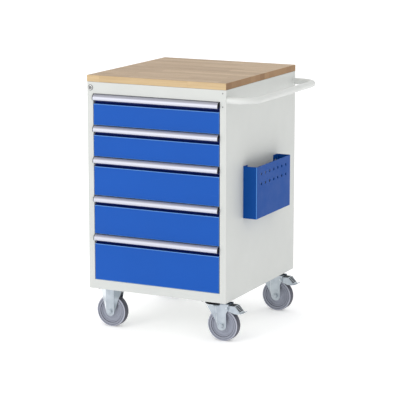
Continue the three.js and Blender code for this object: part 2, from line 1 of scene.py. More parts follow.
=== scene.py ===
# %% [markdown]
# # A mobile workbench with five drawers
# The bench is a sheet-steel cabinet on four casters with a beech board on top. Its sizes come from
# the CAD model, which is loaded first as a fixed frame. Every piece made below either stands for a
# CAD node or is a small part that the CAD leaves out, such as a rivet or an end cap.

# %% The frame and its box
import json
import math

import bmesh
import bpy
from mathutils import Matrix, Vector


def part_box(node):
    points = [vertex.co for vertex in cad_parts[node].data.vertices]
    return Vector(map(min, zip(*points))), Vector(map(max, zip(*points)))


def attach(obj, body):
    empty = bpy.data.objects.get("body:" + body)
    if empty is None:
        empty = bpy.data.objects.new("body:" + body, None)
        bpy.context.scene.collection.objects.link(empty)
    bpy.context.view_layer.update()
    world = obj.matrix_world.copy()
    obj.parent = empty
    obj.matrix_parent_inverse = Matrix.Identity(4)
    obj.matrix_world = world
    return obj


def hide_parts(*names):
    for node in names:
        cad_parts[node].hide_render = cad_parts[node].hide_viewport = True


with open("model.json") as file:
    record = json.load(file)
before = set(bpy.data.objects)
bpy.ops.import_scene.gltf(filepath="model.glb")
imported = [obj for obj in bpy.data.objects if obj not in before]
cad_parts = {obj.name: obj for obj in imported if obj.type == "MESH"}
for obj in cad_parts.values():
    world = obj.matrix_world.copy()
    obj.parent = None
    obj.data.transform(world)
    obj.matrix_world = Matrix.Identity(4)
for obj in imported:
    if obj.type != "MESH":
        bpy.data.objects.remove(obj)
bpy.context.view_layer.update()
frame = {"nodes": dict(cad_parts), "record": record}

# %% [markdown]
# A workshop drawing measures a cabinet from one corner, in millimetres. The same is done here: x
# runs from the cabinet's left side, y back from its front face and z up from the floor. One helper
# turns such a place into metres in the shared frame, so all later cells can use plain drawing sizes.

# %% Millimetres from the cabinet's left front corner
MM = 0.001
CORNER = Vector((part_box("left_side")[0][0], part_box("left_stile")[0][1], 0))


def at(x, y, z):
    """A place in metres from its drawing sizes in millimetres."""
    return CORNER + Vector((x, y, z)) * MM


def sizes(node):
    """A node's lowest and highest corner in drawing sizes."""
    return [tuple((Vector(corner) - CORNER) / MM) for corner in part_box(node)]


WIDTH = sizes("right_side")[1][0]
DEPTH = sizes("back_panel")[1][1]
BOTTOM, TOP = sizes("left_side")[0][2], sizes("left_side")[1][2]
OPEN_LEFT, OPEN_RIGHT = sizes("left_stile")[1][0], sizes("right_stile")[0][0]
OPEN_BOTTOM, OPEN_TOP = sizes("bottom_rail")[1][2], sizes("top_rail")[0][2]
print(f"cabinet {WIDTH:.0f} x {DEPTH:.0f} mm, from {BOTTOM:.0f} to {TOP:.0f} mm")
print(f"opening from {OPEN_BOTTOM:.0f} to {OPEN_TOP:.0f} mm")

# %% [markdown]
# ## Finishes
# A finish is a small graph of nodes. Written node by node it is hard to read, so one class wraps a
# socket and lets sums be written as sums: `1 - mask` adds its Math node by itself. Colours never go
# through Math nodes, which would turn them grey; they are blended by a Mix node instead.

# %% Sums on sockets


class Wire:
    """A number that varies over a surface; arithmetic on it adds Math nodes."""

    def __init__(self, finish, socket):
        self.finish, self.socket = finish, socket

    def _math(self, operation, first, second):
        values = {0: first, 1: second}
        return self.finish.node("ShaderNodeMath", {"operation": operation}, values)

    def __add__(self, other):
        return self._math("ADD", self, other)

    __radd__ = __add__

    def __sub__(self, other):
        return self._math("SUBTRACT", self, other)

    def __rsub__(self, other):
        return self._math("SUBTRACT", other, self)

    def __mul__(self, other):
        return self._math("MULTIPLY", self, other)

    __rmul__ = __mul__

    def __truediv__(self, other):
        return self._math("DIVIDE", self, other)

    def __gt__(self, other):
        return self._math("GREATER_THAN", self, other)


EVEN = (1, 1, 1)


class Finish:
    """A material with one Principled shader, and the methods that add nodes to it."""

    def __init__(self, name, **constants):
        self.material = bpy.data.materials.new(name)
        self.material.use_nodes = True
        self.tree = self.material.node_tree
        self.shader = self.tree.nodes["Principled BSDF"]
        for socket, value in constants.items():
            self.shader.inputs[socket.replace("_", " ")].default_value = value
        place = self.node("ShaderNodeTexCoord", out="Object")
        self.x, self.y, self.z = self.split(place)
        self.place = place
        self.facing = self.split(self.node("ShaderNodeTexCoord", out="Normal"))

    def node(self, kind, settings=None, values=None, out=0):
        """Adds a node: its settings first, then the values or links of its sockets."""
        made = self.tree.nodes.new(kind)
        for key, value in (settings or {}).items():
            setattr(made, key, value)
        for key, value in (values or {}).items():
            if isinstance(value, Wire):
                self.tree.links.new(value.socket, made.inputs[key])
            else:
                made.inputs[key].default_value = value
        return Wire(self, made.outputs[out])

    def split(self, vector):
        """The three numbers of a vector."""
        made = self.node("ShaderNodeSeparateXYZ", values={0: vector}).socket.node
        return [Wire(self, output) for output in made.outputs]

    def plain(self, operation, first, second=0.5):
        """A Math node for what has no sign of its own, such as FLOOR or MAXIMUM."""
        return self.node("ShaderNodeMath", {"operation": operation}, {0: first, 1: second})

    def absolute(self, wire):
        return self.plain("ABSOLUTE", wire)

    def on_bends(self):
        """One where a surface faces between the axes, as on a fold, and nought on flat sheet."""
        x, y, z = map(self.absolute, self.facing)
        flattest = self.plain("MAXIMUM", self.plain("MAXIMUM", x, y), z)
        return self.between(flattest, 0.86, 0.95, 1.0, 0.0)

    def vector(self, x, y, z):
        return self.node("ShaderNodeCombineXYZ", values={0: x, 1: y, 2: z})

    def stretched(self, sx, sy, sz):
        """The place on the piece, multiplied along each axis."""
        values = {0: self.place, 1: (sx, sy, sz)}
        return self.node("ShaderNodeVectorMath", {"operation": "MULTIPLY"}, values)

    def noise(self, where, scale=1.0, detail=3.0, rough=0.5):
        """Noise at a wire's place, or at the piece's own place stretched by three numbers."""
        vector = where if isinstance(where, Wire) else self.stretched(*where)
        values = {"Vector": vector, "Scale": scale, "Detail": detail, "Roughness": rough}
        return self.node("ShaderNodeTexNoise", values=values)

    def between(self, wire, low, high, to_low=0.0, to_high=1.0):
        """Maps a range of values onto another, smoothly and clamped."""
        values = {0: wire, 1: low, 2: high, 3: to_low, 4: to_high}
        return self.node("ShaderNodeMapRange", {"interpolation_type": "SMOOTHSTEP"}, values)

    def mix(self, factor, first, second):
        """Blends two colours."""
        values = {0: factor, 6: first, 7: second}
        return self.node("ShaderNodeMix", {"data_type": "RGBA"}, values, out=2)

    def bump(self, height, strength, distance, under=None):
        """A bump of a height in millimetres times distance, on top of another bump."""
        values = {"Height": height, "Strength": strength, "Distance": distance * MM}
        if under is not None:
            values["Normal"] = under
        return self.node("ShaderNodeBump", values=values)

    def feed(self, **links):
        """Links wires to the shader's own sockets."""
        for socket, wire in links.items():
            self.tree.links.new(wire.socket, self.shader.inputs[socket.replace("_", " ")])
        print("finish", self.material.name, "with", len(self.tree.nodes), "nodes")
        return self.material


# %% [markdown]
# Powder coat is plastic dust that was baked onto the steel. It flows out into a skin with a very
# fine orange peel, a millimetre or so from crest to crest, and a soft gloss. Cabinet, tube, drawers
# and pocket wear the same coat, so one function makes all four. The tube's lighter grey is a painted
# highlight and the pocket's darker blue is a painted shade. It adds the peel as bump, a faint drift of
# tone over a hand's width, clouds in the gloss and fine rubbed marks. Folds get a painted highlight in
# the lighter colour of the rubbed marks. The recess behind a grip gets a painted shade in a darker blue.

# %% Powder coat

# How far behind the front face the painted shade of a grip recess starts and ends, in millimetres.
RECESS_NEAR, RECESS_FAR = (1.2, 3.2), (15.0, 17.0)


def powder_coat(name, colour, wear_and_highlight, gloss, fold=0.0, shine=0.5, recess_shade_colour=None):
    """Baked paint, its colour for rubbed marks and painted highlights on folds, and a painted recess
    shade.
    """
    coat = Finish(name, IOR=1.5, Specular_IOR_Level=shine)
    peel = coat.noise(EVEN, 850, 2, 0.55)
    ripple = coat.noise(EVEN, 140, 2, 0.5)
    drift = coat.noise(EVEN, 3.1, 3, 0.6)
    cloud = coat.noise(EVEN, 17, 4, 0.6)
    scratch = coat.between(coat.noise((9, 9, 420), 1, 3, 0.6), 0.70, 0.78)
    scratch = scratch * coat.between(coat.noise((14, 14, 14), 1, 2, 0.5), 0.56, 0.7)
    darker = tuple(channel * 0.96 for channel in colour[:3]) + (1,)
    base = coat.mix(coat.between(drift, 0.3, 0.7), darker, colour)
    base = coat.mix(scratch * 0.35, base, wear_and_highlight)
    # Painted highlight: folds are painted in the lighter colour, for the light that a bend catches.
    if fold:
        base = coat.mix(coat.on_bends() * fold, base, wear_and_highlight)
    # Painted shade: the grip recess is painted darker, for the shade that falls in it.
    if recess_shade_colour:
        behind = (coat.y - CORNER.y) / MM
        recess_shade = coat.between(behind, *RECESS_NEAR) * coat.between(behind, *RECESS_FAR, 1.0, 0.0)
        recess_shade = recess_shade * coat.between(coat.facing[1], 0.1, 0.4, 1.0, 0.0)
        recess_shade = recess_shade * coat.between(coat.absolute(coat.facing[0]), 0.3, 0.6, 1.0, 0.0)
        base = coat.mix(recess_shade, base, recess_shade_colour)
    rough = coat.between(cloud, 0.25, 0.75, gloss - 0.05, gloss + 0.07) + scratch * 0.12
    normal = coat.bump(ripple, 0.05, 0.35, coat.bump(peel, 0.11, 0.12))
    return coat.feed(Base_Color=base, Roughness=rough, Normal=normal)


# The grey gets a painted highlight on its folds, in its lighter colour.
GREY_PAINT = powder_coat(
    "grey_powder_coat", (0.595, 0.61, 0.59, 1), (0.74, 0.75, 0.73, 1), 0.42, fold=0.7
)
# A lighter grey for the tube, as a painted highlight for the light it catches.
TUBE_HIGHLIGHT_PAINT = powder_coat("tube_highlight_powder_coat", (0.66, 0.675, 0.655, 1), (0.74, 0.75, 0.73, 1), 0.36)
# The drawers' blue gets a painted highlight on folds and a painted shade in the grip recess.
BLUE_PAINT = powder_coat(
    "blue_powder_coat", (0.003, 0.083, 0.42, 1), (0.17, 0.40, 0.85, 1), 0.40,
    fold=1.0, shine=0.2, recess_shade_colour=(0.0, 0.010, 0.12, 1),
)
# A darker blue for the pocket, as a painted shade for its less lit side; its folds also get a painted
# highlight.
POCKET_SHADE_PAINT = powder_coat(
    "pocket_shade_powder_coat", (0.001, 0.062, 0.30, 1), (0.13, 0.36, 0.80, 1), 0.46, fold=1.0, shine=0.12
)

# %% [markdown]
# The board is glued from beech staves about 42 mm wide that run along the bench and are jointed end
# to end. Each stave comes from another plank, so its tone jumps at every glue line. Beech has fine
# fibres, soft darker bands and thousands of short brown flecks, the rays. On the board's left and
# right edge the staves are cut across: end grain soaks up more oil and looks browner, with rings.
# The front edge shows the side of one stave: it is painted yellower for its side grain and lighter as a
# painted highlight.

# %% Glued beech

STAVE, FIRST_STAVE = 0.042, 0.31


def glued_beech():
    """Beech staves along x with their own tones, fibres, flecks and end grain."""
    wood = Finish("glued_beech", IOR=1.45)
    stave = wood.plain("FLOOR", wood.y / STAVE + FIRST_STAVE)
    shift = wood.node("ShaderNodeTexWhiteNoise", {"noise_dimensions": "1D"}, {"W": stave})
    length = wood.x / 0.37 + shift * 5.3
    plank = wood.plain("FLOOR", length)
    own = wood.vector(stave, plank, 0.5)
    tone = wood.node("ShaderNodeTexWhiteNoise", {"noise_dimensions": "3D"}, {"Vector": own})
    warp = wood.noise((2.2, 14, 14), 1, 3, 0.5)
    moved = wood.vector(wood.x * 2.6 + tone * 9, wood.y * 75 + warp * 3 + tone * 40, wood.z * 75)
    band = wood.noise(moved, 1, 3, 0.55)
    fibre = wood.noise((22, 900, 900), 1, 3, 0.65)
    fleck_noise = wood.noise((170, 900, 900), 1, 1, 0.5)
    fleck = wood.between(fleck_noise, 0.64, 0.72)
    pale, mid, brown = (0.58, 0.43, 0.275, 1), (0.43, 0.305, 0.19, 1), (0.28, 0.18, 0.105, 1)
    own_tone = wood.mix(tone, pale, mid)
    long_grain = wood.mix(wood.between(band, 0.42, 0.72) * 0.5, own_tone, brown)
    long_grain = wood.mix(wood.between(fibre, 0.35, 0.75) * 0.4, long_grain, brown)
    long_grain = wood.mix(fleck * 0.4, long_grain, (0.27, 0.15, 0.075, 1))
    ring_place = wood.vector(0.0, wood.y * 30 + tone * 7, wood.z * 30 + tone * 3)
    ring_settings = {"wave_type": "RINGS", "rings_direction": "X"}
    ring_values = {"Vector": ring_place, "Scale": 3.0, "Distortion": 1.2, "Detail": 2.0}
    ring = wood.node("ShaderNodeTexWave", ring_settings, ring_values, out="Fac")
    pore = wood.between(wood.noise((300, 1500, 1500), 1, 1, 0.5), 0.6, 0.75)
    cut_tone = wood.mix(tone, (0.40, 0.245, 0.125, 1), (0.27, 0.15, 0.07, 1))
    cut_grain = wood.mix(ring * 0.45, cut_tone, (0.22, 0.12, 0.055, 1))
    cut_grain = wood.mix(pore * 0.5, cut_grain, (0.14, 0.075, 0.035, 1))
    is_end = wood.absolute(wood.facing[0]) > 0.8
    # Painted highlight: the front edge is painted lighter, as well as yellower for its side grain.
    front = wood.between(wood.facing[1] * -1, 0.6, 0.9)
    front_grain_and_highlight = wood.mix(band, (0.80, 0.60, 0.31, 1), (0.58, 0.41, 0.20, 1))
    long_grain = wood.mix(front * 0.5, long_grain, front_grain_and_highlight)
    across = wood.plain("FRACT", wood.y / STAVE + FIRST_STAVE)
    along = wood.plain("FRACT", length)
    glue = wood.between(across, 0.0, 0.02, 1.0, 0.0)
    glue = glue + wood.between(along, 0.0, 0.003, 1.0, 0.0)
    base = wood.mix(is_end, long_grain, cut_grain)
    base = wood.mix(glue * 0.25, base, (0.2, 0.12, 0.06, 1))
    rough = wood.between(fibre, 0.3, 0.7, 0.46, 0.60) + is_end * 0.12
    grain = wood.bump(fibre, 0.12, 0.12, wood.bump(fleck, 0.1, 0.08))
    normal = wood.bump(glue, 0.1, -0.1, grain)
    return wood.feed(Base_Color=base, Roughness=rough, Normal=normal)


BEECH = glued_beech()

# %% [markdown]
# The grip strips are extruded aluminium with a clear anodised skin. The die leaves faint straight
# lines along the whole length, which spread highlights across the strip. The lines are noise that is
# stretched a thousandfold along x. Faces of a strip that look upwards get a painted shade. Zinc plating
# on the casters is blotchy: the crystals and the last dip leave clouds of a darker and a lighter grey.
# Zinc faces that lean left get a painted highlight and those that lean right a painted shade. Nickel
# on the lock is nearly a mirror.

# %% Metals


def drawn_aluminium():
    """Anodised extrusion with fine lines along x and a painted shade on faces that look upwards."""
    metal = Finish("anodised_aluminium", Metallic=0.55)
    line = metal.noise((2.0, 2600, 2600), 1, 3, 0.6)
    wide = metal.noise((1.2, 260, 260), 1, 2, 0.5)
    base = metal.mix(wide, (0.52, 0.53, 0.60, 1), (0.58, 0.59, 0.67, 1))
    # Painted shade: faces that look upwards are painted darker.
    upward_shade = metal.between(metal.facing[2], 0.1, 0.55)
    base = metal.mix(upward_shade * 0.75, base, (0.33, 0.33, 0.385, 1))
    rough = metal.between(line, 0.3, 0.7, 0.38, 0.48)
    normal = metal.bump(line, 0.10, 0.03)
    return metal.feed(Base_Color=base, Roughness=rough, Normal=normal)


def plated(name, dark, light, low, high, grain, left_lean_highlight=None, right_lean_shade=None):
    """Plated steel in clouds of two tones; faces leaning left get a painted highlight, right a painted
    shade.
    """
    metal = Finish(name, Metallic=1.0)
    cloud = metal.noise(EVEN, 26, 3, 0.5)
    cells = {"Vector": metal.place, "Scale": 420.0}
    crystal = metal.node("ShaderNodeTexVoronoi", values=cells, out=1)
    fleck = metal.split(crystal)[0]
    speck = metal.between(metal.noise(EVEN, 700, 2, 0.5), 0.66, 0.74)
    base = metal.mix(metal.between(cloud, 0.3, 0.7), dark, light)
    base = metal.mix(speck * 0.3, base, (0.16, 0.165, 0.17, 1))
    # Painted highlight on faces that lean left and painted shade on faces that lean right.
    if left_lean_highlight:
        sideways, flat = metal.facing[0], metal.absolute(metal.facing[1])
        painted_light_faces = metal.between(flat, 0.05, 0.3) * metal.between(flat, 0.93, 0.985, 1.0, 0.0)
        base = metal.mix(painted_light_faces * metal.between(sideways * -1, 0.1, 0.3), base, left_lean_highlight)
        base = metal.mix(painted_light_faces * metal.between(sideways, 0.1, 0.3), base, right_lean_shade)
    rough = metal.between(cloud, 0.3, 0.7, low, high) + fleck * 0.06
    normal = metal.bump(cloud, 0.15, grain, metal.bump(fleck, 0.04, 0.1))
    return metal.feed(Base_Color=base, Roughness=rough, Normal=normal)


ALUMINIUM = drawn_aluminium()
DARK_STEEL = plated("dark_steel", (0.20, 0.20, 0.20, 1), (0.30, 0.30, 0.30, 1), 0.30, 0.42, 0.05)
# Zinc gets the painted highlight and the painted shade on its leaning faces.
ZINC = plated(
    "zinc_plate", (0.40, 0.445, 0.49, 1), (0.52, 0.57, 0.61, 1), 0.26, 0.36, 0.06,
    left_lean_highlight=(0.78, 0.82, 0.85, 1), right_lean_shade=(0.27, 0.31, 0.34, 1),
)
NICKEL = plated("nickel_plate", (0.62, 0.62, 0.61, 1), (0.72, 0.72, 0.71, 1), 0.10, 0.20, 0.05)

# %% [markdown]
# The tyres are grey rubber with a dull skin: dark on the tread where they roll, lighter on the
# flanks, with a pale line on each shoulder. The wheel bodies and the strips' end caps are moulded
# plastic, which shows the fine spark texture of its mould. The caps' plastic is black and duller.

# %% Rubber and plastics


def rolled_rubber():
    """Grey rubber, scuffed where it meets the floor."""
    rubber = Finish("grey_tyre_rubber", IOR=1.5)
    skin = rubber.noise(EVEN, 900, 2, 0.6)
    cloud = rubber.noise(EVEN, 45, 4, 0.6)
    dust = rubber.between(rubber.noise(EVEN, 160, 3, 0.65), 0.45, 0.7)
    base = rubber.mix(cloud, (0.058, 0.060, 0.082, 1), (0.080, 0.082, 0.108, 1))
    sideways = rubber.absolute(rubber.facing[1])
    flank = rubber.between(sideways, 0.62, 0.72)
    shoulder = flank * rubber.between(sideways, 0.93, 0.985, 1.0, 0.0)
    flank_tone = rubber.mix(cloud, (0.258, 0.274, 0.335, 1), (0.296, 0.312, 0.375, 1))
    base = rubber.mix(flank, base, flank_tone)
    base = rubber.mix(shoulder * 0.8, base, (0.50, 0.52, 0.60, 1))
    base = rubber.mix(dust * 0.18, base, (0.27, 0.265, 0.29, 1))
    rough = rubber.between(cloud, 0.3, 0.7, 0.58, 0.76)
    normal = rubber.bump(skin, 0.25, 0.1, rubber.bump(dust, 0.1, 0.1))
    return rubber.feed(Base_Color=base, Roughness=rough, Normal=normal)


def moulded(name, dark, light, low, high, shine=0.5):
    """Moulded plastic with the fine texture of its mould."""
    plastic = Finish(name, IOR=1.49, Specular_IOR_Level=shine)
    spark = plastic.noise(EVEN, 1100, 2, 0.6)
    cloud = plastic.noise(EVEN, 35, 3, 0.6)
    base = plastic.mix(cloud, dark, light)
    rough = plastic.between(cloud, 0.3, 0.7, low, high) + spark * 0.05
    normal = plastic.bump(spark, 0.18, 0.07)
    return plastic.feed(Base_Color=base, Roughness=rough, Normal=normal)


RUBBER = rolled_rubber()
HUB_PLASTIC = moulded("hub_plastic", (0.280, 0.298, 0.36, 1), (0.325, 0.343, 0.41, 1), 0.42, 0.55)
CAP_PLASTIC = moulded(
    "cap_plastic", (0.005, 0.005, 0.006, 1), (0.012, 0.012, 0.014, 1), 0.5, 0.6, shine=0.12
)

# %% [markdown]
# ## Shapes
# A shape is a list of points in drawing sizes and a list of faces. Most pieces of a bench are
# sections that were folded, drawn or turned, so two helpers do nearly all the work: one skins a row
# of sections that have the same number of points, the other turns a profile about an axis. A third
# turns a list of corners into the rounded path that a folded sheet really takes.

# %% Skinning, turning and joining


def skin(sections, closed=True, caps=True):
    """Joins sections of equally many points by quads, with a face over each end."""
    count = len(sections[0])
    points = [point for section in sections for point in section]
    faces = []
    for row in range(len(sections) - 1):
        for i in range(count if closed else count - 1):
            j = (i + 1) % count
            a, b = row * count, (row + 1) * count
            faces.append((a + i, a + j, b + j, b + i))
    if caps:
        faces.append(tuple(reversed(range(count))))
        faces.append(tuple(range(len(points) - count, len(points))))
    return points, faces


def around(centre, axis, radius, angle, height):
    """A point at a radius, an angle and a height on an axis through a centre."""
    cx, cy, cz = centre
    u, v = radius * math.cos(angle), radius * math.sin(angle)
    if axis == "y":
        return cx + u, cy + height, cz + v
    if axis == "z":
        return cx + u, cy + v, cz + height
    return cx + height, cy + u, cz + v


def turned(profile, centre, axis, steps=48, ring=False):
    """Turns (radius, height) points about an axis through a centre."""
    points = []
    for step in range(steps):
        angle = 2 * math.pi * step / steps
        points += [around(centre, axis, radius, angle, height) for radius, height in profile]
    count = len(profile)
    faces = []
    for step in range(steps):
        a, b = step * count, (step + 1) % steps * count
        for i in range(count if ring else count - 1):
            j = (i + 1) % count
            faces.append((a + i, a + j, b + j, b + i))
    return points, faces


def joined(*shapes):
    """One shape from several."""
    points, faces = [], []
    for shape_points, shape_faces in shapes:
        start = len(points)
        points += shape_points
        faces += [tuple(start + i for i in face) for face in shape_faces]
    return points, faces


def rounded(path, radii, steps=6):
    """A path of corners with each corner turned into an arc of its radius."""
    out = []
    for i, corner in enumerate(path):
        if i in (0, len(path) - 1) or radii[i] <= 0:
            out.append(tuple(corner))
            continue
        here = Vector(corner)
        back = (Vector(path[i - 1]) - here).normalized()
        ahead = (Vector(path[i + 1]) - here).normalized()
        half = back.angle(ahead) / 2
        centre = here + (back + ahead).normalized() * radii[i] / math.sin(half)
        arm = here + back * radii[i] / math.tan(half) - centre
        turn = -math.copysign(math.pi - 2 * half, back.cross(ahead))
        for step in range(steps + 1):
            swung = Matrix.Rotation(turn * step / steps, 2) @ arm
            out.append(tuple(centre + swung))
    return out


def offset(path, distance):
    """The path moved to its right by a distance, with mitred corners."""
    out = []
    for i, corner in enumerate(path):
        here = Vector(corner)
        into = (here - Vector(path[i - 1])).normalized() if i else None
        away = (Vector(path[i + 1]) - here).normalized() if i < len(path) - 1 else None
        into, away = into or away, away or into
        right_in, right_out = Vector((into.y, -into.x)), Vector((away.y, -away.x))
        mitre = (right_in + right_out).normalized()
        out.append(tuple(here + mitre * distance / mitre.dot(right_in)))
    return out


def sheet(path, thickness, radius, steps=6):
    """The closed outline of a folded sheet whose thickness lies to the path's right."""
    other = offset(path, thickness)
    near, far = [], []
    for i in range(len(path)):
        if i in (0, len(path) - 1):
            near.append(0)
            far.append(0)
            continue
        into = Vector(path[i]) - Vector(path[i - 1])
        away = Vector(path[i + 1]) - Vector(path[i])
        turns_right = into.cross(away) < 0
        near.append(radius + (thickness if turns_right else 0))
        far.append(radius + (0 if turns_right else thickness))
    return rounded(path, near, steps) + rounded(other, far, steps)[::-1]


def drawn(outline, axis, start, end):
    """A closed outline drawn out along an axis."""
    place = {
        "x": lambda w, u, v: (w, u, v),
        "y": lambda w, u, v: (u, w, v),
        "z": lambda w, u, v: (u, v, w),
    }[axis]
    return skin([[place(w, u, v) for u, v in outline] for w in (start, end)])


# %% [markdown]
# Real sheet and bar stock has no knife edges, so blocks are bevelled a little. Every shape becomes a
# Blender object through two functions. The first merges doubled points and turns all faces outwards.
# The second shades smooth up to a given angle, gives the finish, and hangs the piece under an empty for
# the body it moves with. Thin skins get their sheet's thickness in between.

# %% Blocks and pieces


def block(low, high, edge=0.4, steps=2):
    """A box between two corners with softened edges."""
    mesh = bmesh.new()
    bmesh.ops.create_cube(mesh, size=1)
    for vertex in mesh.verts:
        vertex.co = [a + (b - a) * (c + 0.5) for a, b, c in zip(low, high, vertex.co)]
    bmesh.ops.bevel(
        mesh, geom=list(mesh.edges), offset=edge, segments=steps, profile=0.5, affect="EDGES"
    )
    mesh.verts.index_update()
    points = [tuple(vertex.co) for vertex in mesh.verts]
    faces = [tuple(vertex.index for vertex in face.verts) for face in mesh.faces]
    mesh.free()
    return points, faces


def settle(piece, smooth=32):
    """Applies what a piece's modifiers do and shades it smooth up to an angle."""
    if piece.modifiers:
        graph = bpy.context.evaluated_depsgraph_get()
        piece.data = bpy.data.meshes.new_from_object(piece.evaluated_get(graph))
        piece.modifiers.clear()
    piece.data.shade_smooth()
    piece.data.set_sharp_from_angle(angle=math.radians(smooth))
    return piece


def solid(name, shape):
    """A Blender object from a shape, with its faces turned outwards."""
    points, faces = shape
    data = bpy.data.meshes.new(name)
    data.from_pydata([at(*point) for point in points], [], faces)
    mesh = bmesh.new()
    mesh.from_mesh(data)
    bmesh.ops.remove_doubles(mesh, verts=mesh.verts, dist=0.002 * MM)
    bmesh.ops.recalc_face_normals(mesh, faces=mesh.faces)
    mesh.to_mesh(data)
    mesh.free()
    piece = bpy.data.objects.new(name, data)
    bpy.context.scene.collection.objects.link(piece)
    return piece


def looks_at(piece, place):
    """Whether a skin's largest face looks towards a place inside the skin."""
    face = max(piece.data.polygons, key=lambda polygon: polygon.area)
    return (face.center - place).dot(face.normal) < 0


def thicken(piece, thickness, along_normals, even=True):
    """Gives a skin the thickness of its sheet, on the side its faces look to or on the other."""
    steel = piece.modifiers.new("steel", "SOLIDIFY")
    steel.thickness = thickness * MM
    steel.offset = 1 if along_normals else -1
    steel.use_even_offset = even


def fit(piece, finish, slot, body, *stands_for, smooth=32):
    """Finishes a piece, lets it ride on its body and hides the CAD nodes it stands for."""
    settle(piece, smooth)
    piece.data.materials.clear()
    piece.data.materials.append(finish)
    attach(piece, body)
    if stands_for:
        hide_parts(*stands_for)
    return piece


# %% [markdown]
# ## The cabinet
# The carcass is one welded and sprayed body. Its front frame has no seams: the side panels fold round
# the front corners, and the edges of the drawer opening are folded back into the cabinet. It could be
# six boxes, but then every joint would show. Instead one thin skin is laid out, ring by ring round
# the opening and column by column round the corners, and a Solidify modifier gives it the steel's
# thickness.

# %% The carcass as one skin
SHEET = 1.5
CORNER_BEND = 3.0
EDGE_BEND = 2.5
FOLD_DEPTH = sizes("top_rail")[1][1]


def carcass_skin():
    """Outer faces of the side panels and the front frame with its folded edges."""
    points, faces = [], []

    def add(*corners):
        start = len(points)
        points.extend(corners)
        faces.append(tuple(range(start, start + len(corners))))

    steps = 6
    arc = [math.pi / 2 * i / steps for i in range(steps + 1)]
    bend = [(1 - math.sin(angle), 1 - math.cos(angle)) for angle in arc]
    rings = [(EDGE_BEND * a, EDGE_BEND * b) for a, b in bend] + [(0, FOLD_DEPTH)]
    for (grow, y), (grow_next, y_next) in zip(rings, rings[1:]):
        loops = []
        for g, depth in ((grow, y), (grow_next, y_next)):
            left, right = OPEN_LEFT - g, OPEN_RIGHT + g
            low, high = OPEN_BOTTOM - g, OPEN_TOP + g
            around_opening = ((left, low), (right, low), (right, high), (left, high))
            loops.append([(x, depth, z) for x, z in around_opening])
        for i in range(4):
            j = (i + 1) % 4
            add(loops[0][i], loops[0][j], loops[1][j], loops[1][i])
    left, right = OPEN_LEFT - EDGE_BEND, OPEN_RIGHT + EDGE_BEND
    low, high = OPEN_BOTTOM - EDGE_BEND, OPEN_TOP + EDGE_BEND
    fold_low, fold_high = BOTTOM + EDGE_BEND, TOP - EDGE_BEND
    marks = (BOTTOM, fold_low, low, high, fold_high, TOP)
    add((left, 0, fold_low), (right, 0, fold_low), (right, 0, low), (left, 0, low))
    add((left, 0, high), (right, 0, high), (right, 0, fold_high), (left, 0, fold_high))
    columns = [(left, 0)] + [(CORNER_BEND * a, CORNER_BEND * b) for a, b in bend] + [(0, DEPTH)]
    for x in (lambda value: value, lambda value: WIDTH - value):
        for (x0, y0), (x1, y1) in zip(columns, columns[1:]):
            for z0, z1 in zip(marks, marks[1:]):
                add((x(x0), y0, z0), (x(x1), y1, z0), (x(x1), y1, z1), (x(x0), y0, z1))
    for edge, inward in ((TOP, -1), (BOTTOM, 1)):
        fold = [(EDGE_BEND * b, EDGE_BEND * a) for a, b in bend] + [(FOLD_DEPTH, 0)]
        for (y0, drop0), (y1, drop1) in zip(fold, fold[1:]):
            z0, z1 = edge + inward * drop0, edge + inward * drop1
            add((left, y0, z0), (right, y0, z0), (right, y1, z1), (left, y1, z1))
    return points, faces


carcass = solid("carcass_shell", carcass_skin())
inward = looks_at(carcass, at(WIDTH / 2, DEPTH / 2, (BOTTOM + TOP) / 2))
thicken(carcass, SHEET, inward)
fit(
    carcass, GREY_PAINT, "grey_paint", "cabinet",
    "left_side", "right_side", "left_stile", "right_stile", "top_rail", "bottom_rail",
)
print("carcass faces:", len(carcass.data.polygons), "turned inward:", inward)

# %% [markdown]
# The other sheet parts of the cabinet already have the right shape in the CAD model: the back panel,
# the two plates, the trays and the runners. They stay, and only get their finish. The worktop stays
# as well. Which finish each one takes is written in the model's own record. Only the lock's plug is
# given a darker steel here, so that it stands out from the bright rose round it.

# %% Finishes for the nodes that stay
BY_SLOT = {
    "grey_paint": GREY_PAINT, "blue_paint": BLUE_PAINT, "beech": BEECH, "aluminium": ALUMINIUM,
    "zinc": ZINC, "grey_rubber": RUBBER, "hub_plastic": HUB_PLASTIC, "chrome": NICKEL,
}
for row in frame["record"]["subparts"]:
    node = frame["nodes"][row["node"]]
    node.data.materials.clear()
    node.data.materials.append(BY_SLOT[row["material_slot"]])
frame["nodes"]["lock_cylinder"].data.materials[0] = DARK_STEEL
print("nodes with a finish:", len(frame["nodes"]))

# %% [markdown]
# ## Drawers
# A drawer front is a sheet that is folded at its lower edge, runs up, bends in below the grip to make
# room for fingers and folds back again under the strip. Its two ends are folded as well. One path
# gives the profile; it is drawn to full width and its last millimetre is pulled in step by step, so
# that the ends get a soft edge and a closed cheek.

# %% Drawer fronts
FRONT_SHEET = 1.2
BEND = 2.2
GRIP_BEND = 4.5
END_ROUND = 1.0
END_ROOM = 0.5
LIP_DROP = 36.7
RECESS_Y = 13


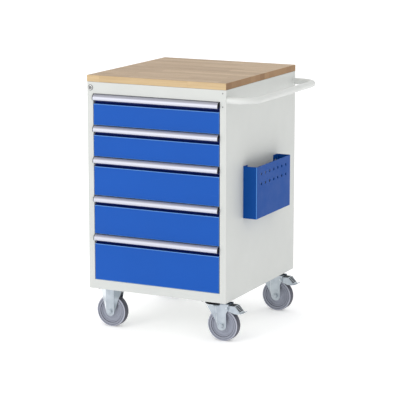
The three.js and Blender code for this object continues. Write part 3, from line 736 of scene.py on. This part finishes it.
def front_skin(node):
    """Outside of a drawer front, open at the back, with rounded ends and a cheek at each."""
    (x0, y0, low), (x1, back, high) = sizes(node)
    lip = high - LIP_DROP
    path = [(back, low), (y0, low), (y0, lip), (RECESS_Y, lip + 7), (RECESS_Y, high), (back, high)]
    sections = []
    for step in range(5):
        angle = math.pi / 2 * step / 4
        inset = END_ROUND * (1 - math.sin(angle))
        away = END_ROUND * (1 - math.cos(angle))
        radii = [0, BEND - inset, GRIP_BEND - inset, BEND + inset, BEND - inset, 0]
        curve = rounded(offset(path, inset), radii)
        curve[0], curve[-1] = (back, curve[0][1]), (back, curve[-1][1])
        sections.append((away, curve))
    x0, x1 = x0 + END_ROOM, x1 - END_ROOM
    left = [[(x0 + away, y, z) for y, z in curve] for away, curve in sections]
    right = [[(x1 - away, y, z) for y, z in curve] for away, curve in reversed(sections)]
    return skin(left + right, closed=False)


for number in range(1, 6):
    node = f"drawer_front_{number}"
    front = solid(f"blue_front_{number}", front_skin(node))
    face = max(front.data.polygons, key=lambda polygon: polygon.area)
    thicken(front, FRONT_SHEET, face.normal.y > 0, even=False)
    fit(front, BLUE_PAINT, "blue_paint", f"drawer_{number}", node)
print("drawer fronts: 5, each", len(front.data.polygons), "faces")

# %% [markdown]
# The grip strip is one aluminium section: a seat that is riveted to the front, a crowned face that
# rolls forwards and down, and a lip that curls back so that it doesn't cut the fingers. The crown is
# drawn as a Bezier curve, because a real die never meets a straight line with a sudden arc. Black
# plastic caps close both ends; each is a thin solid with the same outer line.

# %% Grip strips and their end caps
STRIP_SHEET = 2.0
CAP_WIDTH = 2.5


def bezier(a, b, c, d, steps=14):
    """Points along a cubic curve from a to d."""
    out = []
    for step in range(steps + 1):
        t = step / steps
        k = ((1 - t) ** 3, 3 * t * (1 - t) ** 2, 3 * t * t * (1 - t), t ** 3)
        out.append(tuple(sum(w * p[i] for w, p in zip(k, (a, b, c, d))) for i in (0, 1)))
    return out


def strip_line(low, high, front):
    """Outer line of the strip from the lip's end to the seat's back edge, as (y, z)."""
    leaves, arrives = (front, high - 9), (front + 4.5, high - 2.4)
    crown = bezier((front, low + 4.6), leaves, arrives, (0.5, high - 0.9))
    lip = [(front + 4.6, low), (front + 2.4, low + 0.5), (front + 0.8, low + 2.0)]
    return lip + crown + [(2.0, high - 0.6), (17.9, high - 0.6)]


for number in range(1, 6):
    node = f"grip_strip_{number}"
    (x0, front, low), (x1, back, high) = sizes(node)
    line = strip_line(low, high, front)
    inner = offset(line, STRIP_SHEET)
    outline = line + inner[::-1]
    strip = solid(f"grip_{number}", drawn(outline, "x", x0, x1))
    fit(strip, ALUMINIUM, "aluminium", f"drawer_{number}", node)
    cap_line = line[:-1]
    cap_outline = cap_line + [(2.0, high - 3.2), (-1.0, low + 9), (front + 5.8, low + 1.4)]
    for side, start in (("left", x0 - CAP_WIDTH), ("right", x1)):
        cap = solid(f"grip_cap_{side}_{number}", drawn(cap_outline, "x", start, start + CAP_WIDTH))
        fit(cap, CAP_PLASTIC, "hub_plastic", f"drawer_{number}")
print("grip strips: 5, from x", round(x0, 1), "to", round(x1, 1))

# %% [markdown]
# ## Lock, rivets and screws
# The lock sits at the top left of the frame: a turned rose with a rounded rim, and the plug with its
# key slot, which stays from the CAD. Two small rivets on the right post hold the runner rack behind
# it. All small round parts are profiles that are turned about their own axis.

# %% Lock rose and rivets
LOCK_X, LOCK_Z = [sum(c) / 2 for c in zip(*sizes("lock_housing"))][0::2]
(_, LOCK_FRONT, _), (_, LOCK_BACK, _) = sizes("lock_housing")


def dome(radius, height, steps=6):
    """Profile of a low dome from its foot to the top."""
    return [
        (radius * math.cos(math.pi / 2 * i / steps), height * math.sin(math.pi / 2 * i / steps))
        for i in range(steps + 1)
    ]


rose_profile = [
    (5.85, LOCK_BACK), (5.85, LOCK_FRONT + 0.9), (6.4, LOCK_FRONT + 0.25), (7.4, LOCK_FRONT),
    (8.3, LOCK_FRONT + 0.15), (9.0, LOCK_FRONT + 0.7), (9.4, LOCK_FRONT + 1.5), (9.5, -0.05),
    (7.4, -0.05), (7.4, LOCK_BACK),
]
LOCK_CENTRE = (LOCK_X, 0, LOCK_Z)
rose = solid("lock_rose", turned(rose_profile, LOCK_CENTRE, "y", 40, ring=True))
fit(rose, NICKEL, "chrome", "cabinet", "lock_housing")
gasket_profile = [(8.8, -0.02), (10.6, -0.02), (10.6, -0.9), (8.8, -0.9)]
gasket = turned(gasket_profile, LOCK_CENTRE, "y", 40, ring=True)
fit(solid("lock_gasket", gasket), CAP_PLASTIC, "hub_plastic", "cabinet")

RIVET = [(0, -0.2), (2.6, -0.2)] + dome(2.6, 1.1)


def stud(profile, centre, axis, direction, steps=20):
    """A small turned part that stands out along an axis in one direction."""
    return turned([(radius, direction * height) for radius, height in profile], centre, axis, steps)


studs = [stud(RIVET, (567, 0, z), "y", -1) for z in (947.5, 898.0)]
rivets = solid("post_rivets", joined(*studs))
fit(rivets, DARK_STEEL, "chrome", "cabinet")
print("lock axis at x", round(LOCK_X, 1), "z", round(LOCK_Z, 1), "and", len(studs), "rivets")

# %% [markdown]
# The back panel is let in between the side panels and riveted along both sides. Nobody looks at a
# bench's back for long, but a bare sheet would look unfinished, so it gets a row of blind rivets
# down each side and three more along its top and its bottom.

# %% Back panel details
back_studs = []
for x in (12, WIDTH - 12):
    back_studs += [stud(RIVET, (x, DEPTH - 1.3, BOTTOM + 40 + 120 * i), "y", 1) for i in range(7)]
for x in (150, 290, 430):
    back_studs += [stud(RIVET, (x, DEPTH - 1.3, z), "y", 1) for z in (BOTTOM + 12, TOP - 12)]
fit(solid("back_rivets", joined(*back_studs)), ZINC, "zinc", "cabinet")
print("back rivets:", len(back_studs))

# %% [markdown]
# ## Push handle
# One steel tube, bent twice and welded to the side panel. The path lies in a level plane, so a
# section is easy to place: up is always z and sideways is the path's own normal. A thin collar of
# weld metal, smoothed under the paint, closes each foot.

# %% Push handle
TUBE = 12.5
(HANDLE_ROOT, leg_low, handle_low), (reach, leg_high, handle_high) = sizes("push_handle")
NEAR_LEG, FAR_LEG = leg_low + TUBE, leg_high - TUBE
HANDLE_Z = (handle_low + handle_high) / 2
HANDLE_BEND = 65


def tube(path, radius, sides=28):
    """A round bar along a level path."""
    sections = []
    for i, here in enumerate(path):
        before, after = Vector(path[max(i - 1, 0)]), Vector(path[min(i + 1, len(path) - 1)])
        along = (after - before).normalized()
        right = Vector((along.y, -along.x, 0))
        ring = []
        for side in range(sides):
            angle = 2 * math.pi * side / sides
            swing = right * radius * math.cos(angle) + Vector((0, 0, radius * math.sin(angle)))
            ring.append(tuple(Vector(here) + swing))
        sections.append(ring)
    return skin(sections)


corners = [
    (HANDLE_ROOT, NEAR_LEG), (reach - TUBE, NEAR_LEG), (reach - TUBE, FAR_LEG), (HANDLE_ROOT, FAR_LEG)
]
level = [(x, y, HANDLE_Z) for x, y in rounded(corners, [0, HANDLE_BEND, HANDLE_BEND, 0], 16)]
collar = [(12.3, 0), (15.0, 0), (14.6, 0.8), (13.4, 1.9), (12.3, 2.9)]
collars = [
    turned(collar, (HANDLE_ROOT, y, HANDLE_Z), "x", 28, ring=True) for y in (NEAR_LEG, FAR_LEG)
]
handle = solid("handle_tube", joined(tube(level, TUBE), *collars))
fit(handle, TUBE_HIGHLIGHT_PAINT, "grey_paint", "cabinet", "push_handle", smooth=50)
print("handle reaches to x", round(reach, 1), "at z", round(HANDLE_Z, 1))

# %% [markdown]
# ## Side pocket
# A blue sheet folded into a tray that is open at the top, with square holes for hooks in two rows.
# The wall with the holes is built as a grid of cells, and the cells where a hole goes are left out;
# the sheet's thickness then comes from a Solidify modifier. Cutting holes with a Boolean would also
# do, but it leaves long thin triangles that shade badly.

# %% Pocket
(POCKET_IN, POCKET_NEAR, POCKET_LOW), (POCKET_OUT, POCKET_FAR, POCKET_RIM) = sizes("side_pocket")
HOLE, PITCH, FIRST_ROW = 9.5, 38.0, 31.0


def pocket_skin():
    """Outer faces of the pocket: flanges, ends, holed wall and floor."""
    columns = int((POCKET_FAR - POCKET_NEAR - 50) // PITCH) + 1
    margin = ((POCKET_FAR - POCKET_NEAR) - (columns - 1) * PITCH) / 2
    path = [
        (POCKET_IN, POCKET_FAR - 38), (POCKET_IN, POCKET_FAR), (POCKET_OUT, POCKET_FAR),
        (POCKET_OUT, POCKET_NEAR), (POCKET_IN, POCKET_NEAR), (POCKET_IN, POCKET_NEAR + 38),
    ]
    plan = rounded(path, [0, 2.5, 2.5, 2.5, 2.5, 0])
    split = next(i for i, p in enumerate(plan) if i > 9 and p[0] > POCKET_OUT - 0.01)
    cuts = []
    for column in range(columns):
        y = POCKET_NEAR + margin + column * PITCH
        cuts += [y - HOLE / 2, y + HOLE / 2]
    wall = [(POCKET_OUT, y) for y in reversed(cuts)]
    plan = plan[:split + 1] + wall + plan[split + 1:]
    rows = [POCKET_RIM - FIRST_ROW - k * PITCH for k in (1, 0)]
    levels = [POCKET_LOW, *[z + s * HOLE / 2 for z in rows for s in (-1, 1)], POCKET_RIM]
    points = [(x, y, z) for z in levels for x, y in plan]
    faces = []
    for row in range(len(levels) - 1):
        for i in range(len(plan) - 1):
            (xa, ya), (xb, yb) = plan[i], plan[i + 1]
            on_wall = abs(xa - POCKET_OUT) < 0.01 and abs(xb - POCKET_OUT) < 0.01
            if row in (1, 3) and on_wall and abs(abs(ya - yb) - HOLE) < 0.01:
                continue
            a, b = row * len(plan) + i, (row + 1) * len(plan) + i
            faces.append((a, a + 1, b + 1, b))
    return points, faces


pocket = solid("pocket_wall", pocket_skin())
inward = looks_at(pocket, at(POCKET_IN, (POCKET_NEAR + POCKET_FAR) / 2, POCKET_RIM))
thicken(pocket, SHEET, inward)
fit(pocket, POCKET_SHADE_PAINT, "blue_paint", "cabinet", "side_pocket")
floor_plate = block(
    (POCKET_IN, POCKET_NEAR + SHEET, POCKET_LOW),
    (POCKET_OUT - SHEET, POCKET_FAR - SHEET, POCKET_LOW + SHEET), 0.2,
)
fit(solid("pocket_floor", floor_plate), POCKET_SHADE_PAINT, "blue_paint", "cabinet")
SCREW = [(0, 0), (5.2, 0)] + dome(5.2, 2.6)
screws = []
for y in (POCKET_NEAR + 19, POCKET_FAR - 19):
    for z in (POCKET_RIM - 22, POCKET_LOW + 24):
        screws.append(stud(SCREW, (POCKET_IN + SHEET, y, z), "x", 1))
fit(solid("pocket_screws", joined(*screws)), ZINC, "zinc", "cabinet")
print("pocket wall faces:", len(pocket.data.polygons), "turned inward:", inward)

# %% [markdown]
# ## Casters
# Two fixed casters on the left and two braked swivel casters on the right. Each is a pressed bracket,
# a wheel with a grey tyre and a bolt through both. Everything about a wheel is turned: the tyre is a
# closed ring profile with round shoulders, the wheel body a dished disc with a raised ring and a hub.

# %% Tyres, wheel bodies and axles
WHEEL_R, TYRE_HALF, SHOULDER = 62.5, 16.0, 6.0


def mirrored(half):
    """A full profile from the half at positive heights, listed from the middle outwards."""
    return half + [(radius, -height) for radius, height in reversed(half)]


def tyre_shape(centre):
    """A ring with a crowned tread, round shoulders and a moulded line on each flank."""
    tread = [(WHEEL_R - 0.05, 5.0)]
    shoulder = []
    for i in range(1, 8):
        angle = math.pi / 2 * i / 7
        radius = WHEEL_R - SHOULDER + (SHOULDER - 0.1) * math.cos(angle)
        shoulder.append((radius, TYRE_HALF - SHOULDER * (1 - math.sin(angle))))
    flank = [(55.4, 16.0), (54.8, 14.6), (53.4, 14.6), (52.8, 15.8), (47.0, 15.8), (45.3, 13.6)]
    inner = [(45.0, 12.0)]
    return turned(mirrored(tread + shoulder + flank + inner), centre, "y", 72, ring=True)


def wheel_shape(centre):
    """A dished wheel body with a rim, a raised ring and a hub that stands out on both sides."""
    half = [
        (45.2, 6.0), (45.2, 13.6), (44.2, 14.4), (42.6, 14.4), (41.4, 13.4), (40.4, 10.4), (39.0, 9.0),
        (33.0, 8.4), (32.2, 9.6), (30.2, 9.9), (29.2, 8.6), (22.0, 9.0), (19.0, 10.6), (16.6, 13.4),
        (15.6, 18.6), (14.6, 19.8), (8.0, 20.0), (6.2, 19.2),
    ]
    return turned(mirrored(half), centre, "y", 56, ring=True)


def hexagon(centre, axis, levels):
    """A six-sided head along an axis, from (height, radius) pairs."""
    angles = [math.pi / 3 * i for i in range(6)]
    return skin([[around(centre, axis, radius, a, height) for a in angles] for height, radius in levels])


def axle_shape(centre):
    """A bolt through both legs with washers, a head and a nut."""
    washer = [(6.2, 24.2), (11.8, 24.2), (11.8, 25.8), (6.2, 25.8)]
    shank = [(0, -30.2), (5.0, -30.2), (5.9, -29.2), (5.9, 29.2), (5.0, 30.2), (0, 30.2)]
    parts = [turned(shank, centre, "y", 28)]
    for side in (1, -1):
        parts.append(turned([(r, side * h) for r, h in washer], centre, "y", 32, ring=True))
        head = ((25.8, 9.6), (28.6, 9.6), (29.8, 9.6 * 0.88))
        parts.append(hexagon(centre, "y", [(side * h, r) for h, r in head]))
    return joined(*parts)


PLACES = {}
for end in ("front", "back"):
    for kind in ("fixed", "swivel"):
        low, high = sizes(f"{kind}_wheel_{end}")
        centre = tuple((a + b) / 2 for a, b in zip(low, high))
        PLACES[kind, end] = centre
        body = f"{kind}_wheel_{end}"
        tyre = solid(f"tyre_{kind}_{end}", tyre_shape(centre))
        fit(tyre, RUBBER, "grey_rubber", body, f"{kind}_tyre_{end}", smooth=38)
        wheel = solid(f"wheel_{kind}_{end}", wheel_shape(centre))
        fit(wheel, HUB_PLASTIC, "hub_plastic", body, f"{kind}_wheel_{end}", smooth=38)
        axle = solid(f"axle_{kind}_{end}", axle_shape(centre))
        holder = "cabinet" if kind == "fixed" else f"swivel_fork_{end}"
        fit(axle, ZINC, "zinc", holder, f"{kind}_axle_{end}")
print("wheel centres:", {key: [round(c, 1) for c in place] for key, place in PLACES.items()})

# %% [markdown]
# A pressed leg is not flat. A band in its middle is raised towards the outside and its two wings lean
# in towards the wheel, which makes thin sheet stiff. A leg is built as a stack of level sections from
# the crown down to its round end; each one is a short folded line with the sheet's thickness.

# %% Pressed legs
LEG_SHEET = 3.0
LEG_OUT = 24.0
LEG_RADIUS = 19
WIDER_FROM = 112


def leg(side_y, centre, levels, left, right, band, lean, step):
    """One leg: its edges and raised band by height, and how its wings lean and step back."""
    across, back = step
    cx, cy, _ = centre
    sections = []
    for z in levels:
        a, b = left(z), right(z)
        room = 3.6 + 9.0 * min(max((z - WIDER_FROM) / 30, 0), 1)
        p, q = band(z)
        p, q = max(p, a + 0.6), min(q, b - 0.6)
        near_p, near_q = max(p - across, a + 0.3), min(q + across, b - 0.3)
        drop_p, drop_q = back * (p - near_p) / across, back * (near_q - q) / across
        outer = [
            (a, LEG_OUT - drop_p - min(lean * (near_p - a), room)), (near_p, LEG_OUT - drop_p),
            (p, LEG_OUT), (q, LEG_OUT),
            (near_q, LEG_OUT - drop_q), (b, LEG_OUT - drop_q - min(lean * (b - near_q), room)),
        ]
        ring = outer + [(x, y - LEG_SHEET + 0.2) for x, y in reversed(outer)]
        sections.append([(cx + x, cy + side_y * y, z) for x, y in ring])
    return skin(sections)


def round_end(z):
    """Half the width of a leg's round end at a height."""
    return math.sqrt(max(LEG_RADIUS * LEG_RADIUS - (WHEEL_R - z) ** 2, 0.8))


FIXED_HALF, FIXED_BAND = 48, 17.5
END_LEVELS = [WHEEL_R - LEG_RADIUS * math.cos(math.pi / 2 * i / 8) for i in range(8)]


def fixed_leg(side_y, centre, top):
    """A leg that tapers from 96 mm at the plate to its round end at the axle."""
    def half(z):
        if z <= WHEEL_R:
            return round_end(z)
        return LEG_RADIUS + (FIXED_HALF - LEG_RADIUS) * (z - WHEEL_R) / (top - WHEEL_R)

    def band(_):
        return -FIXED_BAND, FIXED_BAND

    levels = END_LEVELS + [WHEEL_R + (top - WHEEL_R) * i / 10 for i in range(11)]
    return leg(side_y, centre, levels, lambda z: -half(z), half, band, 0.42, (0.5, 1.2))


# %% [markdown]
# The fixed bracket is a plate with a leg on each side and a bend between them. Four hexagon bolts
# hold the plate under the cabinet. The plate's corners are rounded, so its outline is a short path
# with four arcs.

# %% Fixed brackets
PLATE_SHEET = 3.5


def plate_shape(cx, cy, low, high, length, width, corner=9):
    """A level plate with rounded corners."""
    outline = []
    for sx, sy, start in ((1, 1, 0), (-1, 1, 90), (-1, -1, 180), (1, -1, 270)):
        for i in range(7):
            angle = math.radians(start + 15 * i)
            outline.append((
                cx + sx * (length / 2 - corner) + corner * math.cos(angle),
                cy + sy * (width / 2 - corner) + corner * math.sin(angle),
            ))
    return drawn(outline, "z", low, high)


def plate_bolts(cx, cy, low):
    """Four bolt heads under a plate, with their washers."""
    parts = []
    for x in (cx - 40, cx + 40):
        for y in (cy - 31, cy + 31):
            parts.append(turned([(0, -1.4), (7.6, -1.4), (7.6, 0), (0, 0)], (x, y, low), "z", 24))
            parts.append(hexagon((x, y, low), "z", ((-1.4, 6.4), (-5.4, 6.4), (-6.2, 5.6))))
    return joined(*parts)


for end in ("front", "back"):
    (x0, y0, _), (x1, y1, plate_top) = sizes(f"fixed_bracket_{end}")
    cx, cy, _ = PLACES["fixed", end]
    plate_low = plate_top - PLATE_SHEET
    parts = [plate_shape(cx, cy, plate_low, plate_top, x1 - x0, y1 - y0)]
    parts += [fixed_leg(side, (cx, cy, 0), plate_low + 1.5) for side in (1, -1)]
    for side in (1, -1):
        bend = [
            (cy + side * LEG_OUT, plate_low - 4), (cy + side * (LEG_OUT + 1.2), plate_low - 1.2),
            (cy + side * (LEG_OUT + 4.2), plate_low + 0.4), (cy + side * 20, plate_low + 0.4),
            (cy + side * 21, plate_low - 4),
        ]
        parts.append(drawn(bend, "x", cx - 15.5, cx + 15.5))
    bracket = solid(f"bracket_{end}", joined(*parts))
    fit(bracket, ZINC, "zinc", "cabinet", f"fixed_bracket_{end}", smooth=28)
    bolts = solid(f"bracket_bolts_{end}", plate_bolts(cx, cy, plate_low))
    fit(bolts, DARK_STEEL, "zinc", "cabinet")
print("fixed brackets: 2, plate underside at z", round(plate_low, 1))

# %% [markdown]
# A swivel caster turns on two rings of balls between its top plate and its crown. Seen from the side
# that is a cup, a dark gap and the fork's domed crown. A black skirt round the gap and a black ring on
# the crown are a painted shade that keeps the gap dark. Cup and skirt stay with the plate; ring, crown
# and legs turn with the fork.

# %% Swivel plates and forks
CROWN_LOW = WHEEL_R * 2 + 18.2
CROWN_TOP = CROWN_LOW + 3.5
LEFT_AT_CROWN = -34.5
TRAIL = 36.0
PIN_AHEAD, PIN_Z = 58, 131.0


def swivel_leg(side_y, centre):
    """A leg that trails from the crown back to the axle, with a foot for the pedal's pin."""
    def left(z):
        if z < WHEEL_R:
            return TRAIL - round_end(z)
        rise = (z - WHEEL_R) / (CROWN_LOW - WHEEL_R)
        return TRAIL - LEG_RADIUS + (LEFT_AT_CROWN - TRAIL + LEG_RADIUS) * rise ** 1.15

    def right(z):
        if z < WHEEL_R:
            return TRAIL + round_end(z)
        return TRAIL + LEG_RADIUS + 10 * min(max((z - WIDER_FROM) / 14, 0), 1)

    def band(z):
        return TRAIL - 18.5 - 5 * max(z - WHEEL_R, 0) / (CROWN_LOW - WHEEL_R), right(z)

    levels = END_LEVELS + [WHEEL_R + (CROWN_TOP - 0.4 - WHEEL_R) * i / 12 for i in range(13)]
    return leg(side_y, centre, levels, left, right, band, 0.06, (3.5, 2.6))


for end in ("front", "back"):
    (x0, y0, _), (x1, y1, plate_top) = sizes(f"swivel_plate_{end}")
    cx, cy = (x0 + x1) / 2, (y0 + y1) / 2
    plate_low = plate_top - PLATE_SHEET
    cup = [
        (8.2, 147.4), (27.5, 147.4), (29.0, 148.2), (29.0, 150.0), (31.4, 150.6), (33.0, 152.2),
        (34.6, 154.6), (36.6, plate_low + 0.1), (8.2, plate_low + 0.1),
    ]
    pin = [
        (0, 138.8), (9.5, 138.8), (12.2, 139.8), (13.0, 141.2), (13.0, 142.5), (7.9, 142.6),
        (7.9, 148), (0, 148),
    ]
    top = joined(
        plate_shape(cx, cy, plate_low, plate_top, x1 - x0, y1 - y0),
        turned(cup, (cx, cy, 0), "z", 48, ring=True),
        turned(pin, (cx, cy, 0), "z", 32),
    )
    fit(solid(f"swivel_top_{end}", top), ZINC, "zinc", "cabinet", f"swivel_plate_{end}", smooth=30)
    fit(solid(f"swivel_bolts_{end}", plate_bolts(cx, cy, plate_low)), DARK_STEEL, "zinc", "cabinet")
    # Painted shade: a black skirt round the race gap keeps the gap dark.
    skirt = [
        (38.2, 143.4), (38.9, 143.4), (39.0, 148.3), (37.8, 149.8), (34.0, 149.8), (34.0, 148.9),
        (38.2, 147.6),
    ]
    shade_skirt = solid(f"race_shade_skirt_{end}", turned(skirt, (cx, cy, 0), "z", 48, ring=True))
    fit(shade_skirt, CAP_PLASTIC, "hub_plastic", "cabinet")
    crown = [
        (8.6, CROWN_LOW), (30, CROWN_LOW), (33.5, CROWN_LOW - 2.4), (36.2, CROWN_LOW - 5.6),
        (37.6, CROWN_LOW - 5.6), (37.4, CROWN_LOW - 1.8), (35.2, CROWN_LOW + 1.6),
        (31.6, CROWN_TOP), (8.6, CROWN_TOP),
    ]
    bridge = block((cx - 16, cy - 24, CROWN_LOW), (cx + 44, cy + 24, CROWN_TOP - 0.2), 1.0)
    foot = turned([(0, -26.5), (3.4, -26.5), (3.4, 26.5), (0, 26.5)], (cx + PIN_AHEAD, cy, PIN_Z), "y", 20)
    head = [(0, 24), (5.6, 24), (5.2, 25.6), (3.2, 26.6), (0, 26.8)]
    heads = [stud(head, (cx + PIN_AHEAD, cy, PIN_Z), "y", side, 24) for side in (1, -1)]
    fork = joined(
        turned(crown, (cx, cy, 0), "z", 56, ring=True), bridge, foot, *heads,
        *[swivel_leg(side, (cx, cy, 0)) for side in (1, -1)],
    )
    body = f"swivel_fork_{end}"
    fit(solid(f"fork_{end}", fork), ZINC, "zinc", body, body, smooth=30)
    # Painted shade: a black ring on the crown fills the race gap with dark.
    seal_low, seal_top = CROWN_TOP - 0.4, CROWN_TOP + 0.1
    seal = [(12, seal_low), (27.6, seal_low), (28.4, seal_top), (12, seal_top)]
    ring = solid(f"race_shade_ring_{end}", turned(seal, (cx, cy, 0), "z", 48, ring=True))
    fit(ring, CAP_PLASTIC, "hub_plastic", body)
print("swivel axes at x", round(cx, 1), "crown top at z", round(CROWN_TOP, 1))

# %% [markdown]
# The brake pedal is a pressed tread that sticks out behind the wheel and points slightly down. Ribs
# across its end keep a shoe from slipping, and two cheeks hang from its sides to the pin it turns on.

# %% Brake pedals


def pedal_shape(node):
    """Tread, ribs and cheeks of one pedal."""
    (x0, y0, _), (x1, y1, high) = sizes(node)
    cy, pin_x = (y0 + y1) / 2, x0 + 10
    half = (y1 - y0) / 2
    knee, toe = Vector((pin_x + 31, high)), Vector((x1 - 12, PIN_Z - 16))
    path = [(x0 + 0.3, high), tuple(knee), tuple(toe), (x1 - 0.6, PIN_Z - 11)]
    outline = sheet(path, 2.3, 3.0)
    mid_x = sum(x for x, _ in outline) / len(outline)
    tread = []
    for y, shrink in ((-half, 0.8), (-half + 0.8, 0), (half - 0.8, 0), (half, 0.8)):
        tread.append([
            (x + (0.3 if x < mid_x else -0.3) * shrink, cy + y, z - (0.25 if shrink else 0))
            for x, z in outline
        ])
    parts, ribs = [skin(tread)], []
    slope = (toe - knee).normalized()
    places = [(knee + slope * (4 + 5.4 * i), slope) for i in range(5)]
    places += [(knee - Vector((6 + 6 * i, 0)), Vector((1, 0))) for i in range(4)]
    rib_section = ((-2.1, -0.5), (2.1, -0.5), (1.3, 0.9), (-1.3, 0.9))
    for foot, slope in places:
        up = Vector((-slope.y, slope.x))
        rib = [tuple(foot + slope * a + up * b) for a, b in rib_section]
        ribs.append(drawn(rib, "y", cy - half + 3, cy + half - 3))
    cheek = [
        (x0 + 0.6, high - 1), (x0 + 0.6, PIN_Z - 5), (x0 + 4, PIN_Z - 8), (pin_x + 28, PIN_Z - 19.5),
        (pin_x + 46, PIN_Z - 19.5), (toe.x, toe.y - 1), (knee.x, high - 1),
    ]
    for start in (cy - half + 0.1, cy + half - 2.4):
        parts.append(drawn(cheek, "y", start, start + 2.3))
    return joined(*parts), joined(*ribs)


for end in ("front", "back"):
    node = f"brake_pedal_{end}"
    lever, ribs = pedal_shape(node)
    fit(solid(f"pedal_{end}", lever), ZINC, "zinc", node, node, smooth=30)
    fit(solid(f"pedal_ribs_{end}", ribs), CAP_PLASTIC, "hub_plastic", node)
print("pedals reach to x", round(sizes("brake_pedal_front")[1][0], 1))

# %% [markdown]
# ## Floor, light and camera
# A plain pale floor and even white surroundings show the bench as in a catalogue. One large soft
# light stands in front of it, a little to the left, so that the front is brighter than the side.

# %% Floor
FLOOR_HALF = 40.0
floor_mesh = bpy.data.meshes.new("studio_floor")
floor_mesh.from_pydata(
    [(sx * FLOOR_HALF, sy * FLOOR_HALF, 0) for sx, sy in ((-1, -1), (1, -1), (1, 1), (-1, 1))],
    [], [(0, 1, 2, 3)],
)
floor = bpy.data.objects.new("studio_floor", floor_mesh)
bpy.context.scene.collection.objects.link(floor)
paint = Finish("studio_floor", Roughness=0.9, Emission_Strength=0.30)
tone = paint.noise(EVEN, 0.6, 2, 0.5)
floor_colour = paint.mix(tone, (0.93, 0.93, 0.93, 1), (0.95, 0.95, 0.95, 1))
floor.data.materials.append(paint.feed(Base_Color=floor_colour, Emission_Color=floor_colour))
print("floor", 2 * FLOOR_HALF, "m across")

# %% Light
SKY_STRENGTH = 0.94
LIGHT_PLACE, LIGHT_TARGET = (-2.6, -6.5, 3.4), (0, 0, 0.55)
LIGHT_SIZE, LIGHT_POWER = 3.5, 120
world = bpy.data.worlds.new("studio")
world.use_nodes = True
sky = world.node_tree.nodes["Background"]
sky.inputs["Color"].default_value = (1.0, 1.0, 1.0, 1)
sky.inputs["Strength"].default_value = SKY_STRENGTH
bpy.context.scene.world = world


def soft_light(name, place, target, size, power):
    """A square area light that faces a target."""
    lamp = bpy.data.lights.new(name, "AREA")
    lamp.shape, lamp.size, lamp.energy = "SQUARE", size, power
    holder = bpy.data.objects.new(name, lamp)
    bpy.context.scene.collection.objects.link(holder)
    holder.location = place
    aim = Vector(target) - Vector(place)
    holder.rotation_euler = aim.to_track_quat("-Z", "Y").to_euler()
    return holder


soft_light("front_soft_light", LIGHT_PLACE, LIGHT_TARGET, LIGHT_SIZE, LIGHT_POWER)
bpy.context.scene.view_settings.view_transform = "Standard"
print("lights:", len(bpy.data.lights))

# %% [markdown]
# The camera stands at the front right, higher than the worktop, and looks slightly down. A long
# lens from seven metres keeps the cabinet's upright edges nearly parallel.

# %% Camera
SENSOR, LENS, FAR_CLIP = 36.0, 159.84, 200.0
CAMERA_PLACE = (2.9706, -6.0994, 1.8255)
TILT, TURN = 78.77, 26.16
camera_data = bpy.data.cameras.new("camera")
camera_data.sensor_width = SENSOR
camera_data.lens = LENS
camera_data.clip_end = FAR_CLIP
camera = bpy.data.objects.new("camera", camera_data)
camera.location = CAMERA_PLACE
camera.rotation_euler = (math.radians(TILT), 0, math.radians(TURN))
bpy.context.scene.collection.objects.link(camera)
bpy.context.scene.camera = camera
print("camera", tuple(round(value, 2) for value in camera.location), "lens", camera_data.lens)
